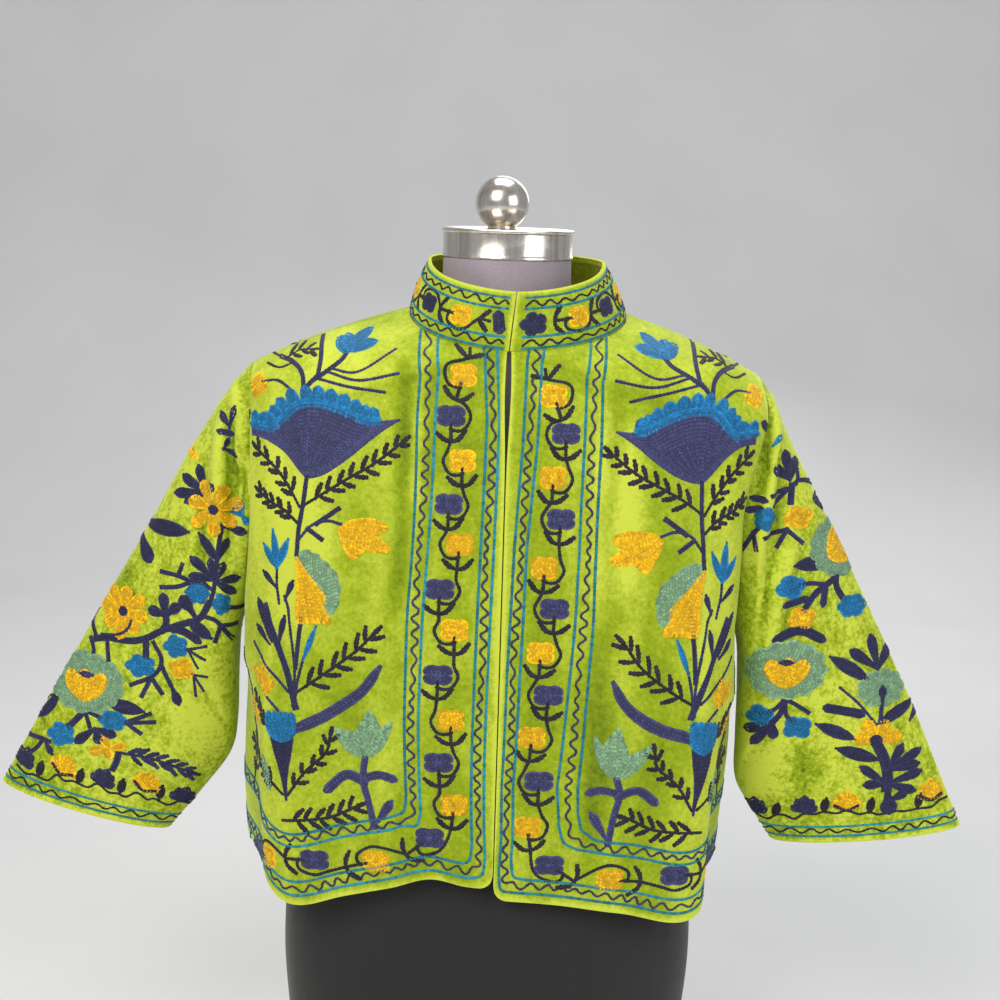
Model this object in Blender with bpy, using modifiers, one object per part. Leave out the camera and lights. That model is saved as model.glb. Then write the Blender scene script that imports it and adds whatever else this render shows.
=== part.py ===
"""A suzani jacket, open at the front, on the limbless dress form that carries it.

X runs to the viewer's right, Y runs from the front of the jacket to its back, Z is up.
The origin is the centre of the form's flat underside. Sizes are in metres.
Side -1 is the wearer's right (viewer's left) and side +1 is the wearer's left.
Face -1 is the front and face +1 is the back.
"""

import math

import bmesh
import bpy
import numpy as np

# Driving sizes
CLOTH = 0.0020             # velvet and its turned edges
SEAM = 0.0006              # room between two pieces that are sewn together
COLLAR_SEAM = 0.0003       # the collar stands this far above the neckline
UNDERARM = 0.462           # height where the side seam meets the armhole
ARMHOLE_TOP = 0.680        # height where the shoulder seam meets the armhole
ARMHOLE_MIDDLE_Y = -0.004
ARMHOLE_HALF_DEPTH = 0.056
SHOULDER_ARCH = 0.0045     # the shoulder seam rises this much above a straight line
HEM_CORNER = 0.012         # radius of the rounded corner at the centre front
HEM_SHAPING = 0.36         # the share of a panel's height that the hem's curve reaches
SIDE_SHARE = 0.43          # a panel's outer edge is side seam up to this share, then armhole
CENTRE_SHARE = 0.82        # its inner edge is straight up to this share, then neckline

# Rows of points up a panel, by stretch, and columns across it
ROWS_TO_UNDERARM = 7
ROWS_TO_NECK = 7
ROWS_AT_NECK = 6
BACK_COLUMNS = 14
FRONT_COLUMNS = (
    *(0.0, 0.013, 0.040, 0.12, 0.20, 0.28, 0.36, 0.44, 0.50),
    *(0.54, 0.57, 0.60, 0.64, 0.70, 0.78, 0.86, 0.93, 1.0),
)
SLEEVE_ROWS = 15
COLLAR_ROWS = 3

# Side seam: height, wearer's right, wearer's left, how far back it lies
SIDE_SEAM = (
    (0.245, -0.2245, 0.2085, 0.020),
    (0.295, -0.2285, 0.2130, 0.017),
    (0.345, -0.2288, 0.2165, 0.012),
    (0.410, -0.2266, 0.2150, 0.004),
    (0.462, -0.2262, 0.2135, -0.004),
)

# Armhole: height, wearer's right, wearer's left
ARMHOLE = (
    (0.462, -0.2262, 0.2135),
    (0.520, -0.2200, 0.2135),
    (0.575, -0.2185, 0.2150),
    (0.615, -0.2200, 0.2250),
    (0.650, -0.2220, 0.2330),
    (0.680, -0.2240, 0.2290),
)

# Centre line of each face: height, front, back
CENTRE = (
    (0.225, -0.118, 0.106),
    (0.300, -0.121, 0.103),
    (0.400, -0.124, 0.100),
    (0.500, -0.126, 0.101),
    (0.580, -0.124, 0.105),
    (0.640, -0.117, 0.105),
    (0.680, -0.107, 0.098),
    (0.703, -0.100, 0.091),
    (0.738, -0.090, 0.077),
)

# How square a panel turns from its face to its side: height share, wearer's right front,
# wearer's left front, back
TURN = (
    (0.00, 5.8, 7.5, 2.9),
    (0.18, 4.8, 5.8, 2.8),
    (0.45, 3.2, 3.6, 2.7),
    (0.80, 2.7, 2.7, 2.5),
    (1.00, 2.2, 2.2, 2.2),
)

# Collar rings: middle x of the front, wearer's right, wearer's left, then front, side and
# back y, then front, side and back z
NECKLINE = (0.0040, -0.086, 0.108, -0.100, 0.004, 0.077, 0.703, 0.730, 0.738)
COLLAR_TOP = (0.0090, -0.069, 0.086, -0.085, 0.000, 0.067, 0.753, 0.777, 0.781)
COLLAR_SWELL = 0.0015      # the collar's face is this much fuller half way up
FRONT_OPENING = 0.0005     # from the middle line to either front's edge
SLIT_WIDTH = 0.0022        # the fronts part this much more under the collar
SLIT_HEIGHT = 0.672
SLIT_LENGTH = 0.045

# Hem: distance from the centre front or centre back, then the height there
HEM_FRONT_RIGHT = (
    (0.000, 0.234),
    (0.025, 0.236),
    (0.050, 0.242),
    (0.090, 0.232),
    (0.130, 0.223),
    (0.182, 0.213),
    (0.222, 0.234),
    (0.262, 0.244),
    (0.340, 0.252),
)
HEM_FRONT_LEFT = (
    (0.000, 0.224),
    (0.060, 0.221),
    (0.110, 0.215),
    (0.178, 0.209),
    (0.216, 0.228),
    (0.256, 0.240),
    (0.330, 0.246),
)
HEM_BACK = (
    (0.000, 0.254),
    (0.090, 0.258),
    (0.170, 0.249),
    (0.230, 0.251),
    (0.300, 0.262),
)

# Folds in a panel: distance from the centre line and height at both ends, then half width
# and depth. A ridge is above zero and a trough is below it. On the back, the distance is
# below zero on the wearer's right.
FOLDS_FRONT_RIGHT = (
    (0.228, 0.150, 0.262, 0.420, 0.042, -0.0180),
    (0.085, 0.480, 0.062, 0.640, 0.016, -0.0030),
    (0.120, 0.200, 0.128, 0.420, 0.030, -0.0040),
    (0.000, 0.300, 0.000, 0.700, 0.020, 0.0016),
)
FOLDS_FRONT_LEFT = (
    (0.222, 0.150, 0.236, 0.400, 0.038, -0.0180),
    (0.130, 0.170, 0.135, 0.360, 0.030, -0.0040),
    (0.175, 0.640, 0.200, 0.520, 0.024, -0.0035),
)
FOLDS_BACK = (
    (-0.205, 0.200, -0.190, 0.430, 0.034, -0.0080),
    (-0.120, 0.200, -0.118, 0.560, 0.030, 0.0060),
    (-0.040, 0.200, -0.050, 0.520, 0.034, -0.0060),
    (0.075, 0.200, 0.085, 0.500, 0.034, 0.0060),
    (0.150, 0.200, 0.140, 0.470, 0.034, -0.0070),
    (0.215, 0.200, 0.215, 0.380, 0.030, 0.0050),
)

# Sleeve sections from armhole to cuff: share, outer x and z, inner x and z, middle y and
# half depth
SLEEVE_RIGHT = (
    (0.00, -0.2240, 0.680, -0.2262, 0.462, -0.004, 0.056),
    (0.08, -0.2400, 0.661, -0.2322, 0.436, -0.004, 0.055),
    (0.22, -0.2750, 0.607, -0.2340, 0.398, -0.003, 0.053),
    (0.40, -0.3110, 0.540, -0.2345, 0.352, -0.001, 0.047),
    (0.60, -0.3530, 0.465, -0.2410, 0.318, 0.002, 0.039),
    (0.80, -0.4030, 0.375, -0.2670, 0.281, 0.004, 0.031),
    (1.00, -0.4520, 0.284, -0.2970, 0.244, 0.004, 0.024),
)
SLEEVE_LEFT = (
    (0.00, 0.2290, 0.680, 0.2135, 0.462, -0.004, 0.056),
    (0.08, 0.2405, 0.660, 0.2195, 0.436, -0.004, 0.055),
    (0.22, 0.2650, 0.612, 0.2220, 0.396, -0.003, 0.053),
    (0.40, 0.3000, 0.546, 0.2225, 0.346, -0.001, 0.047),
    (0.60, 0.3420, 0.466, 0.2245, 0.308, 0.002, 0.039),
    (0.80, 0.3870, 0.376, 0.2400, 0.280, 0.004, 0.031),
    (1.00, 0.4350, 0.269, 0.2600, 0.251, 0.004, 0.024),
)
SLEEVE_LENGTH = 0.43
SLEEVE_RADIUS = 0.075
CUFF_SAG = 0.003           # the middle of a cuff's edge hangs this much below its ends
HEAD_BLEND = 0.22          # the armhole's own curve fades out of the sleeve by this share

# Folds in a sleeve: share of the length and angle above the inner edge in degrees at both
# ends, front below zero, then half width and depth
FOLDS_SLEEVE_RIGHT = (
    (0.060, -140.0, 0.110, -70.0, 0.010, -0.0070),
    (0.110, -150.0, 0.190, -60.0, 0.011, 0.0050),
    (0.190, -145.0, 0.280, -80.0, 0.013, -0.0045),
    (0.080, 140.0, 0.140, 70.0, 0.012, -0.0065),
    (0.160, 150.0, 0.260, 80.0, 0.014, 0.0045),
    (0.450, -40.0, 0.620, -100.0, 0.020, -0.0040),
    (0.480, 40.0, 0.640, 110.0, 0.020, -0.0045),
)
FOLDS_SLEEVE_LEFT = (
    (0.050, -150.0, 0.120, -70.0, 0.011, 0.0060),
    (0.120, -150.0, 0.220, -60.0, 0.013, -0.0065),
    (0.260, -130.0, 0.300, -60.0, 0.016, 0.0040),
    (0.080, 145.0, 0.150, 75.0, 0.012, -0.0065),
    (0.170, 150.0, 0.270, 80.0, 0.014, 0.0045),
    (0.500, -30.0, 0.660, -90.0, 0.020, -0.0040),
    (0.440, 45.0, 0.600, 110.0, 0.020, -0.0045),
)

# Dress form: height, half width, front y, back y, squareness
FORM = (
    (0.0000, 0.1740, -0.094, 0.098, 2.7),
    (0.0040, 0.1765, -0.097, 0.101, 2.7),
    (0.0500, 0.1795, -0.100, 0.104, 2.7),
    (0.1500, 0.1880, -0.104, 0.107, 2.7),
    (0.2100, 0.1855, -0.104, 0.098, 2.6),
    (0.2900, 0.1730, -0.102, 0.092, 2.5),
    (0.3800, 0.1580, -0.100, 0.086, 2.4),
    (0.4600, 0.1640, -0.106, 0.088, 2.4),
    (0.5400, 0.1780, -0.113, 0.094, 2.5),
    (0.6000, 0.1870, -0.110, 0.097, 2.6),
    (0.6400, 0.1890, -0.099, 0.094, 2.5),
    (0.6700, 0.1880, -0.082, 0.088, 2.2),
    (0.6850, 0.1830, -0.071, 0.080, 1.9),
    (0.6960, 0.1740, -0.062, 0.070, 1.7),
    (0.7045, 0.1560, -0.057, 0.064, 1.6),
    (0.7120, 0.1330, -0.054, 0.061, 1.6),
    (0.7180, 0.1120, -0.053, 0.060, 1.6),
    (0.7240, 0.0850, -0.054, 0.059, 1.7),
    (0.7310, 0.0700, -0.056, 0.059, 1.9),
    (0.7400, 0.0625, -0.057, 0.058, 2.0),
    (0.7540, 0.0585, -0.0575, 0.058, 2.0),
    (0.7777, 0.0575, -0.0575, 0.0575, 2.0),
)
FORM_COLUMNS = 32

# Cap and ball, turned: radius and height of each corner of the profile, top to bottom
CAP_PROFILE = (
    (0.0000, 0.8040),
    (0.0560, 0.8040),
    (0.0586, 0.8032),
    (0.0586, 0.8012),
    (0.0574, 0.8000),
    (0.0574, 0.7815),
    (0.0582, 0.7805),
    (0.0582, 0.7788),
    (0.0572, 0.7780),
    (0.0000, 0.7780),
)
CAP_STEPS = 36
BALL_RADIUS = 0.0238
BALL_MIDDLE_X = -0.006
BALL_MIDDLE_Z = 0.8262
BALL_FOOT_RADIUS = 0.0125
BALL_FOOT_BOTTOM = 0.8043
BALL_ARC_POINTS = 13
BALL_STEPS = 28

COLLECTION = "suzani jacket on dress form"


def curve_through(rows, at):
    """The columns of a table, read at any values of its first column, on a smooth curve."""
    rows = np.array(rows, float)
    at = np.atleast_1d(np.asarray(at, float))
    knots = rows[:, 0]
    values = rows[:, 1:]
    steps = np.diff(knots)[:, None]
    slopes = np.diff(values, axis=0) / steps
    bends = np.empty_like(values)
    bends[0] = slopes[0]
    bends[-1] = slopes[-1]
    bends[1:-1] = (slopes[:-1] * steps[1:] + slopes[1:] * steps[:-1]) / (steps[1:] + steps[:-1])
    at = np.clip(at, knots[0], knots[-1])
    cell = np.clip(np.searchsorted(knots, at, side="right") - 1, 0, len(knots) - 2)
    width = steps[cell]
    s = (at[:, None] - knots[cell][:, None]) / width
    start = (1 + 2 * s) * (1 - s) ** 2 * values[cell] + s * (1 - s) ** 2 * width * bends[cell]
    end = s * s * (3 - 2 * s) * values[cell + 1] + s * s * (s - 1) * width * bends[cell + 1]
    return start + end


def unit(vectors):
    """Vectors made one unit long."""
    lengths = np.linalg.norm(vectors, axis=-1, keepdims=True)
    return vectors / np.maximum(lengths, 1e-12)


def normals_of(grid, outward):
    """Normals of a grid of points, on the side that outward points to."""
    up = np.gradient(grid, axis=0, edge_order=2)
    across = np.gradient(grid, axis=1, edge_order=2)
    normals = unit(np.cross(across, up))
    facing = np.sum(normals * outward, axis=-1, keepdims=True)
    return normals * np.where(facing.mean() < 0, -1.0, 1.0)


def relief(folds, x, y):
    """Height of the folds at points whose place on the cloth is x and y."""
    height = np.zeros(np.broadcast(x, y).shape)
    for x0, y0, x1, y1, half_width, depth in folds:
        run = np.array((x1 - x0, y1 - y0))
        along = ((x - x0) * run[0] + (y - y0) * run[1]) / run.dot(run)
        along = np.clip(along, 0.0, 1.0)
        away = np.hypot(x - x0 - along * run[0], y - y0 - along * run[1])
        taper = 1.0 - np.abs(2.0 * along - 1.0) ** 3
        height += depth * taper * np.exp(-((away / half_width) ** 2))
    return height


def neck_ring(ring, side, face, turn):
    """Points on a quarter of a collar ring. turn is 0 at the centre line, 1 at the side."""
    middle, right, left, front_y, side_y, back_y, front_z, side_z, back_z = ring
    turn = np.atleast_1d(np.asarray(turn, float))
    angle = turn * math.pi / 2
    centre_x = middle if face < 0 else (right + left) / 2
    side_x = right if side < 0 else left
    centre_y = front_y if face < 0 else back_y
    centre_z = front_z if face < 0 else back_z
    x = centre_x + (side_x - centre_x) * np.sin(angle)
    y = side_y + (centre_y - side_y) * np.cos(angle)
    z = centre_z + (side_z - centre_z) * turn**1.6
    return np.stack((x, y, z), axis=-1)


def armhole_ring(side, face, turn):
    """Points on half of an armhole. turn is 0 at the underarm and 1 at the shoulder."""
    turn = np.atleast_1d(np.asarray(turn, float))
    angle = (turn - 0.5) * math.pi
    middle = (ARMHOLE_TOP + UNDERARM) / 2
    z = middle + (ARMHOLE_TOP - UNDERARM) / 2 * np.sin(angle)
    x = curve_through(ARMHOLE, z)[:, 0 if side < 0 else 1]
    y = ARMHOLE_MIDDLE_Y + face * ARMHOLE_HALF_DEPTH * np.cos(angle)
    return np.stack((x, y, z), axis=-1)


def inner_edge(side, face, heights):
    """The panel's edge at the centre line, then round the neckline."""
    low = HEM_BACK[0][1] if face > 0 else hem_of(side, face)[0][1]
    high = NECKLINE[8] if face > 0 else NECKLINE[6]
    z = low + (high - low) * np.clip(heights / CENTRE_SHARE, 0.0, 1.0)
    y = curve_through(CENTRE, z)[:, 0 if face < 0 else 1]
    if face < 0:
        parting = SLIT_WIDTH * np.exp(-(((z - SLIT_HEIGHT) / SLIT_LENGTH) ** 2))
        x = NECKLINE[0] + side * (FRONT_OPENING + parting)
    else:
        x = np.full_like(z, (NECKLINE[1] + NECKLINE[2]) / 2 * heights / CENTRE_SHARE)
    straight = np.stack((x, y, z), axis=-1)
    turn = (heights - CENTRE_SHARE) / (1 - CENTRE_SHARE)
    curved = neck_ring(NECKLINE, side, face, np.clip(turn, 0.0, 1.0))
    if face < 0:
        curved[:, 0] += side * FRONT_OPENING * (1 - np.clip(turn, 0.0, 1.0))
    return np.where(turn[:, None] > 0, curved, straight)


def outer_edge(side, face, heights):
    """The panel's edge up the side seam, then round the armhole to the shoulder."""
    low = SIDE_SEAM[0][0]
    z = low + (UNDERARM - low) * np.clip(heights / SIDE_SHARE, 0.0, 1.0)
    places = curve_through(SIDE_SEAM, z)
    seam = np.stack((places[:, 0 if side < 0 else 1], places[:, 2], z), axis=-1)
    turn = (heights - SIDE_SHARE) / (1 - SIDE_SHARE)
    ring = armhole_ring(side, face, np.clip(turn, 0.0, 1.0))
    return np.where(turn[:, None] > 0, ring, seam)


def hem_of(side, face):
    """The hem's table for a panel."""
    if face > 0:
        return HEM_BACK
    return HEM_FRONT_RIGHT if side < 0 else HEM_FRONT_LEFT


def folds_of(side, face):
    """The folds' table for a panel."""
    if face > 0:
        return FOLDS_BACK
    return FOLDS_FRONT_RIGHT if side < 0 else FOLDS_FRONT_LEFT


def panel_row(inner, outer, squareness, shares):
    """One row across a panel, flat on its face and rounded into its side."""
    angle = np.linspace(0.0, math.pi / 2, 241)
    across = np.sin(angle) ** (2 / squareness)
    forward = np.cos(angle) ** (2 / squareness)
    x = inner[0] + (outer[0] - inner[0]) * across
    y = outer[1] + (inner[1] - outer[1]) * forward
    z = inner[2] + (outer[2] - inner[2]) * across
    lengths = np.sqrt(np.diff(x) ** 2 + np.diff(y) ** 2 + np.diff(z) ** 2)
    reached = np.concatenate(((0.0,), np.cumsum(lengths)))
    wanted = shares * reached[-1]
    row = [np.interp(wanted, reached, values) for values in (x, y, z, across)]
    return np.stack(row, axis=-1), reached[-1]


def panel_grid(side, face, shares, heights):
    """Points of half a front or back, a row for each height share, and their normals."""
    inner = inner_edge(side, face, heights)
    outer = outer_edge(side, face, heights)
    column = 2 if face > 0 else (0 if side < 0 else 1)
    squareness = curve_through(TURN, heights)[:, column]
    rows = [panel_row(*each, shares) for each in zip(inner, outer, squareness)]
    grid = np.array([row for row, _ in rows])
    lengths = np.array([length for _, length in rows])
    across = grid[:, :, 3]
    grid = grid[:, :, :3]
    arch = SHOULDER_ARCH * np.sin(math.pi * across) * np.clip((heights[:, None] - 0.7) / 0.3, 0, 1)
    grid[:, :, 2] += arch
    distance = shares[None, :] * lengths[:, None]
    first, length = panel_row(inner[0], outer[0], squareness[0], shares)
    hem = curve_through(hem_of(side, face), shares * length)[:, 0]
    if face < 0:
        inset = np.clip(HEM_CORNER - shares * length, 0.0, HEM_CORNER)
        hem = hem + HEM_CORNER - np.sqrt(HEM_CORNER**2 - inset**2)
    fade = np.clip(1 - heights / HEM_SHAPING, 0.0, 1.0) ** 2
    grid[:, :, 2] += (hem - first[:, 2])[None, :] * fade[:, None]
    outward = np.zeros_like(grid)
    outward[:, :, 0] = side * across**2
    outward[:, :, 1] = face
    sign = side if face > 0 else 1
    folds = relief(folds_of(side, face), sign * distance, grid[:, :, 2])
    grid = grid + normals_of(grid, outward) * folds[:, :, None]
    return grid, normals_of(grid, outward)


def sleeve_grid(side, turns, shares):
    """Points of a sleeve, a ring for each share of its length, and their normals.

    turns holds a pair for each point of a ring: its face, and its turn up the armhole.
    """
    table = SLEEVE_RIGHT if side < 0 else SLEEVE_LEFT
    folds = FOLDS_SLEEVE_RIGHT if side < 0 else FOLDS_SLEEVE_LEFT
    faces = np.array([face for face, _ in turns], float)
    angles = np.array([(turn - 0.5) * math.pi for _, turn in turns])
    places = curve_through(table, shares)
    zeros = np.zeros(len(shares))
    outer = np.stack((places[:, 0], places[:, 4], places[:, 1]), axis=-1)
    inner = np.stack((places[:, 2], places[:, 4], places[:, 3]), axis=-1)
    depth = np.stack((zeros, places[:, 5], zeros), axis=-1)
    middle = (outer + inner) / 2
    width = (outer - inner) / 2
    grid = middle[:, None] + width[:, None] * np.sin(angles)[None, :, None]
    grid = grid + depth[:, None] * (faces * np.cos(angles))[None, :, None]
    ring = np.array([armhole_ring(side, face, turn)[0] for face, turn in turns])
    fade = np.clip(1 - shares / HEAD_BLEND, 0.0, 1.0) ** 2
    first = curve_through(table, 0.0)[0]
    start = np.array(
        [
            (
                (first[0] + first[2]) / 2 + (first[0] - first[2]) / 2 * math.sin(angle),
                first[4] + face * first[5] * math.cos(angle),
                (first[1] + first[3]) / 2 + (first[1] - first[3]) / 2 * math.sin(angle),
            )
            for face, angle in zip(faces, angles)
        ]
    )
    grid = grid + (ring - start)[None] * fade[:, None, None]
    grid[:, :, 2] -= CUFF_SAG * (shares**4)[:, None] * np.cos(angles)[None, :]
    outward = grid - middle[:, None]
    around = faces * (angles + math.pi / 2)
    height = relief(
        [
            (
                s0 * SLEEVE_LENGTH,
                math.radians(a0) * SLEEVE_RADIUS,
                s1 * SLEEVE_LENGTH,
                math.radians(a1) * SLEEVE_RADIUS,
                half_width,
                depth_of_fold,
            )
            for s0, a0, s1, a1, half_width, depth_of_fold in folds
        ],
        shares[:, None] * SLEEVE_LENGTH,
        around[None, :] * SLEEVE_RADIUS,
    )
    grid = grid + tube_normals(grid, outward) * height[:, :, None]
    return grid, tube_normals(grid, outward)


def tube_normals(grid, outward):
    """Normals of a tube whose last column comes round to its first."""
    wrapped = np.concatenate((grid[:, -2:-1], grid, grid[:, 1:2]), axis=1)
    sides = np.concatenate((outward[:, -2:-1], outward, outward[:, 1:2]), axis=1)
    return normals_of(wrapped, sides)[:, 1:-1]


def collar_grid(turns, shares):
    """Points of the stand collar from the wearer's right front round to the left front.

    turns holds side, face and turn for each column; shares run up from the seam.
    """
    seam = np.array([neck_ring(NECKLINE, *each)[0] for each in turns])
    top = np.array([neck_ring(COLLAR_TOP, *each)[0] for each in turns])
    open_front = np.array([side * (1 - turn) if face < 0 else 0.0 for side, face, turn in turns])
    seam[:, 0] += FRONT_OPENING * open_front
    top[:, 0] += FRONT_OPENING * open_front
    seam[:, 2] += COLLAR_SEAM
    grid = seam[None] * (1 - shares[:, None, None]) + top[None] * shares[:, None, None]
    outward = grid.copy()
    outward[:, :, 0] -= NECKLINE[0]
    outward[:, :, 2] = 0.0
    swell = COLLAR_SWELL * np.sin(math.pi * shares)
    grid = grid + normals_of(grid, outward) * swell[:, None, None]
    return grid, normals_of(grid, outward)


def share_normals(sheets):
    """Where edges of two sheets meet at a seam, both take the mean of their normals."""
    edges = []
    for points, normals in sheets:
        rows, columns = points.shape[:2]
        for row in range(rows):
            for column in range(columns):
                if row in (0, rows - 1) or column in (0, columns - 1):
                    edges.append((points[row, column], normals, row, column))
    places = np.array([edge[0] for edge in edges])
    values = np.array([normals[row, column] for _, normals, row, column in edges])
    for place, (_, normals, row, column) in zip(places, edges):
        near = np.linalg.norm(places - place, axis=1) < 2 * SEAM
        mean = unit(values[near].mean(axis=0))
        lean = max(0.6, float(mean @ normals[row, column]))
        normals[row, column] = mean / lean


def material(name, colour, roughness, metallic=0.0):
    """A plain surface of one colour."""
    made = bpy.data.materials.new(name)
    made.use_nodes = True
    shader = made.node_tree.nodes["Principled BSDF"]
    shader.inputs["Base Color"].default_value = (*colour, 1.0)
    shader.inputs["Roughness"].default_value = roughness
    shader.inputs["Metallic"].default_value = metallic
    return made


def place(name, mesh, surface, collection):
    """An object of that mesh and material in the collection."""
    mesh.materials.append(surface)
    made = bpy.data.objects.new(name, mesh)
    collection.objects.link(made)
    return made


def cloth_piece(name, sheets, surface, collection):
    """A cloth wall, whose outer face is the sheets and whose inner face lies CLOTH inside."""
    mesh = bpy.data.meshes.new(name)
    shell = bmesh.new()
    found = {}

    def corner(point, normal):
        key = tuple(np.round(point, 6))
        if key not in found:
            found[key] = (shell.verts.new(point), shell.verts.new(point - normal * CLOTH))
        return found[key]

    for points, normals in sheets:
        rows, columns = points.shape[:2]
        net = [
            [corner(points[row, column], normals[row, column]) for column in range(columns)]
            for row in range(rows)
        ]
        for row in range(rows - 1):
            for column in range(columns - 1):
                ring = (
                    net[row][column],
                    net[row][column + 1],
                    net[row + 1][column + 1],
                    net[row + 1][column],
                )
                shell.faces.new([outer for outer, _ in ring])
                shell.faces.new([inner for _, inner in reversed(ring)])
    inside = {outer: inner for outer, inner in found.values()}
    rims = [edge for edge in shell.edges if edge.is_boundary and edge.verts[0] in inside]
    for edge in rims:
        first, second = edge.verts
        shell.faces.new((first, second, inside[second], inside[first]))
    bmesh.ops.recalc_face_normals(shell, faces=shell.faces)
    shell.to_mesh(mesh)
    shell.free()
    mesh.shade_smooth()
    mesh.set_sharp_from_angle(angle=math.radians(50))
    return place(name, mesh, surface, collection)


def form_ring(half_width, front, back, squareness):
    """One level section of the form, as x and y for each column."""
    angle = np.arange(FORM_COLUMNS) * 2 * math.pi / FORM_COLUMNS
    middle = (front + back) / 2
    half_depth = (back - front) / 2
    power = 2 / squareness
    x = half_width * np.sign(np.cos(angle)) * np.abs(np.cos(angle)) ** power
    y = middle + half_depth * np.sign(np.sin(angle)) * np.abs(np.sin(angle)) ** power
    return x, y


def form_torso(surface, collection):
    """The form's covered shell, from its flat underside to the top of its neck."""
    mesh = bpy.data.meshes.new("form_torso")
    body = bmesh.new()
    rings = []
    for height, *section in FORM:
        x, y = form_ring(*section)
        rings.append([body.verts.new((px, py, height)) for px, py in zip(x, y)])
    for lower, upper in zip(rings, rings[1:]):
        for column in range(FORM_COLUMNS):
            after = (column + 1) % FORM_COLUMNS
            body.faces.new((lower[column], lower[after], upper[after], upper[column]))
    body.faces.new(list(reversed(rings[0])))
    body.faces.new(rings[-1])
    bmesh.ops.recalc_face_normals(body, faces=body.faces)
    body.to_mesh(mesh)
    body.free()
    mesh.shade_smooth()
    mesh.set_sharp_from_angle(angle=math.radians(50))
    return place("form_torso", mesh, surface, collection)


def turned(name, profile, steps, surface, collection):
    """A turned piece: its profile, from the top on the axis down its outer side, spun."""
    mesh = bpy.data.meshes.new(name)
    corners = [(radius, 0.0, height) for radius, height in profile]
    mesh.from_pydata(corners, [(i, i + 1) for i in range(len(corners) - 1)], [])
    made = place(name, mesh, surface, collection)
    screw = made.modifiers.new("turn", "SCREW")
    screw.axis = "Z"
    screw.steps = steps
    screw.render_steps = steps
    screw.use_merge_vertices = True
    screw.merge_threshold = 0.00001
    screw.use_smooth_shade = True
    return made


def ball_profile():
    """A ball that ends below in a short round foot."""
    foot_height = BALL_MIDDLE_Z - math.sqrt(BALL_RADIUS**2 - BALL_FOOT_RADIUS**2)
    last = math.asin(BALL_FOOT_RADIUS / BALL_RADIUS)
    arc = np.linspace(0.0, math.pi - last, BALL_ARC_POINTS)
    points = [
        (BALL_RADIUS * math.sin(angle), BALL_MIDDLE_Z + BALL_RADIUS * math.cos(angle))
        for angle in arc
    ]
    points[-1] = (BALL_FOOT_RADIUS, foot_height)
    return points + [(BALL_FOOT_RADIUS, BALL_FOOT_BOTTOM), (0.0, BALL_FOOT_BOTTOM)]


def clear_scene():
    """Removes what the opened scene holds."""
    for each in list(bpy.data.objects):
        bpy.data.objects.remove(each)


def panel_heights():
    """Height shares of the rows of a panel, from the hem to the shoulder seam."""
    return np.concatenate(
        (
            np.linspace(0.0, SIDE_SHARE, ROWS_TO_UNDERARM + 1),
            np.linspace(SIDE_SHARE, CENTRE_SHARE, ROWS_TO_NECK + 1)[1:],
            np.linspace(CENTRE_SHARE, 1.0, ROWS_AT_NECK + 1)[1:],
        )
    )


def join_halves(halves, heights):
    """Makes both halves of a piece without a centre seam end on the same line of points."""
    on_centre_line = heights <= CENTRE_SHARE
    for each in range(2):
        right, left = halves[-1][each], halves[1][each]
        middle = (right[on_centre_line, 0] + left[on_centre_line, 0]) / 2
        right[on_centre_line, 0] = middle
        left[on_centre_line, 0] = middle


def panel_sheet(side, face, shares, heights):
    """A panel's points and normals, its seamed edges moved a little off their seams."""
    points, normals = panel_grid(side, face, shares, heights)
    on_side_seam = heights <= SIDE_SHARE
    on_armhole = heights >= SIDE_SHARE
    points[on_side_seam, -1, 1] += face * SEAM / 2
    points[on_armhole, -1, 0] -= side * SEAM / 2
    points[-1, :, 1] += face * SEAM / 2
    return points, normals


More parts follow.
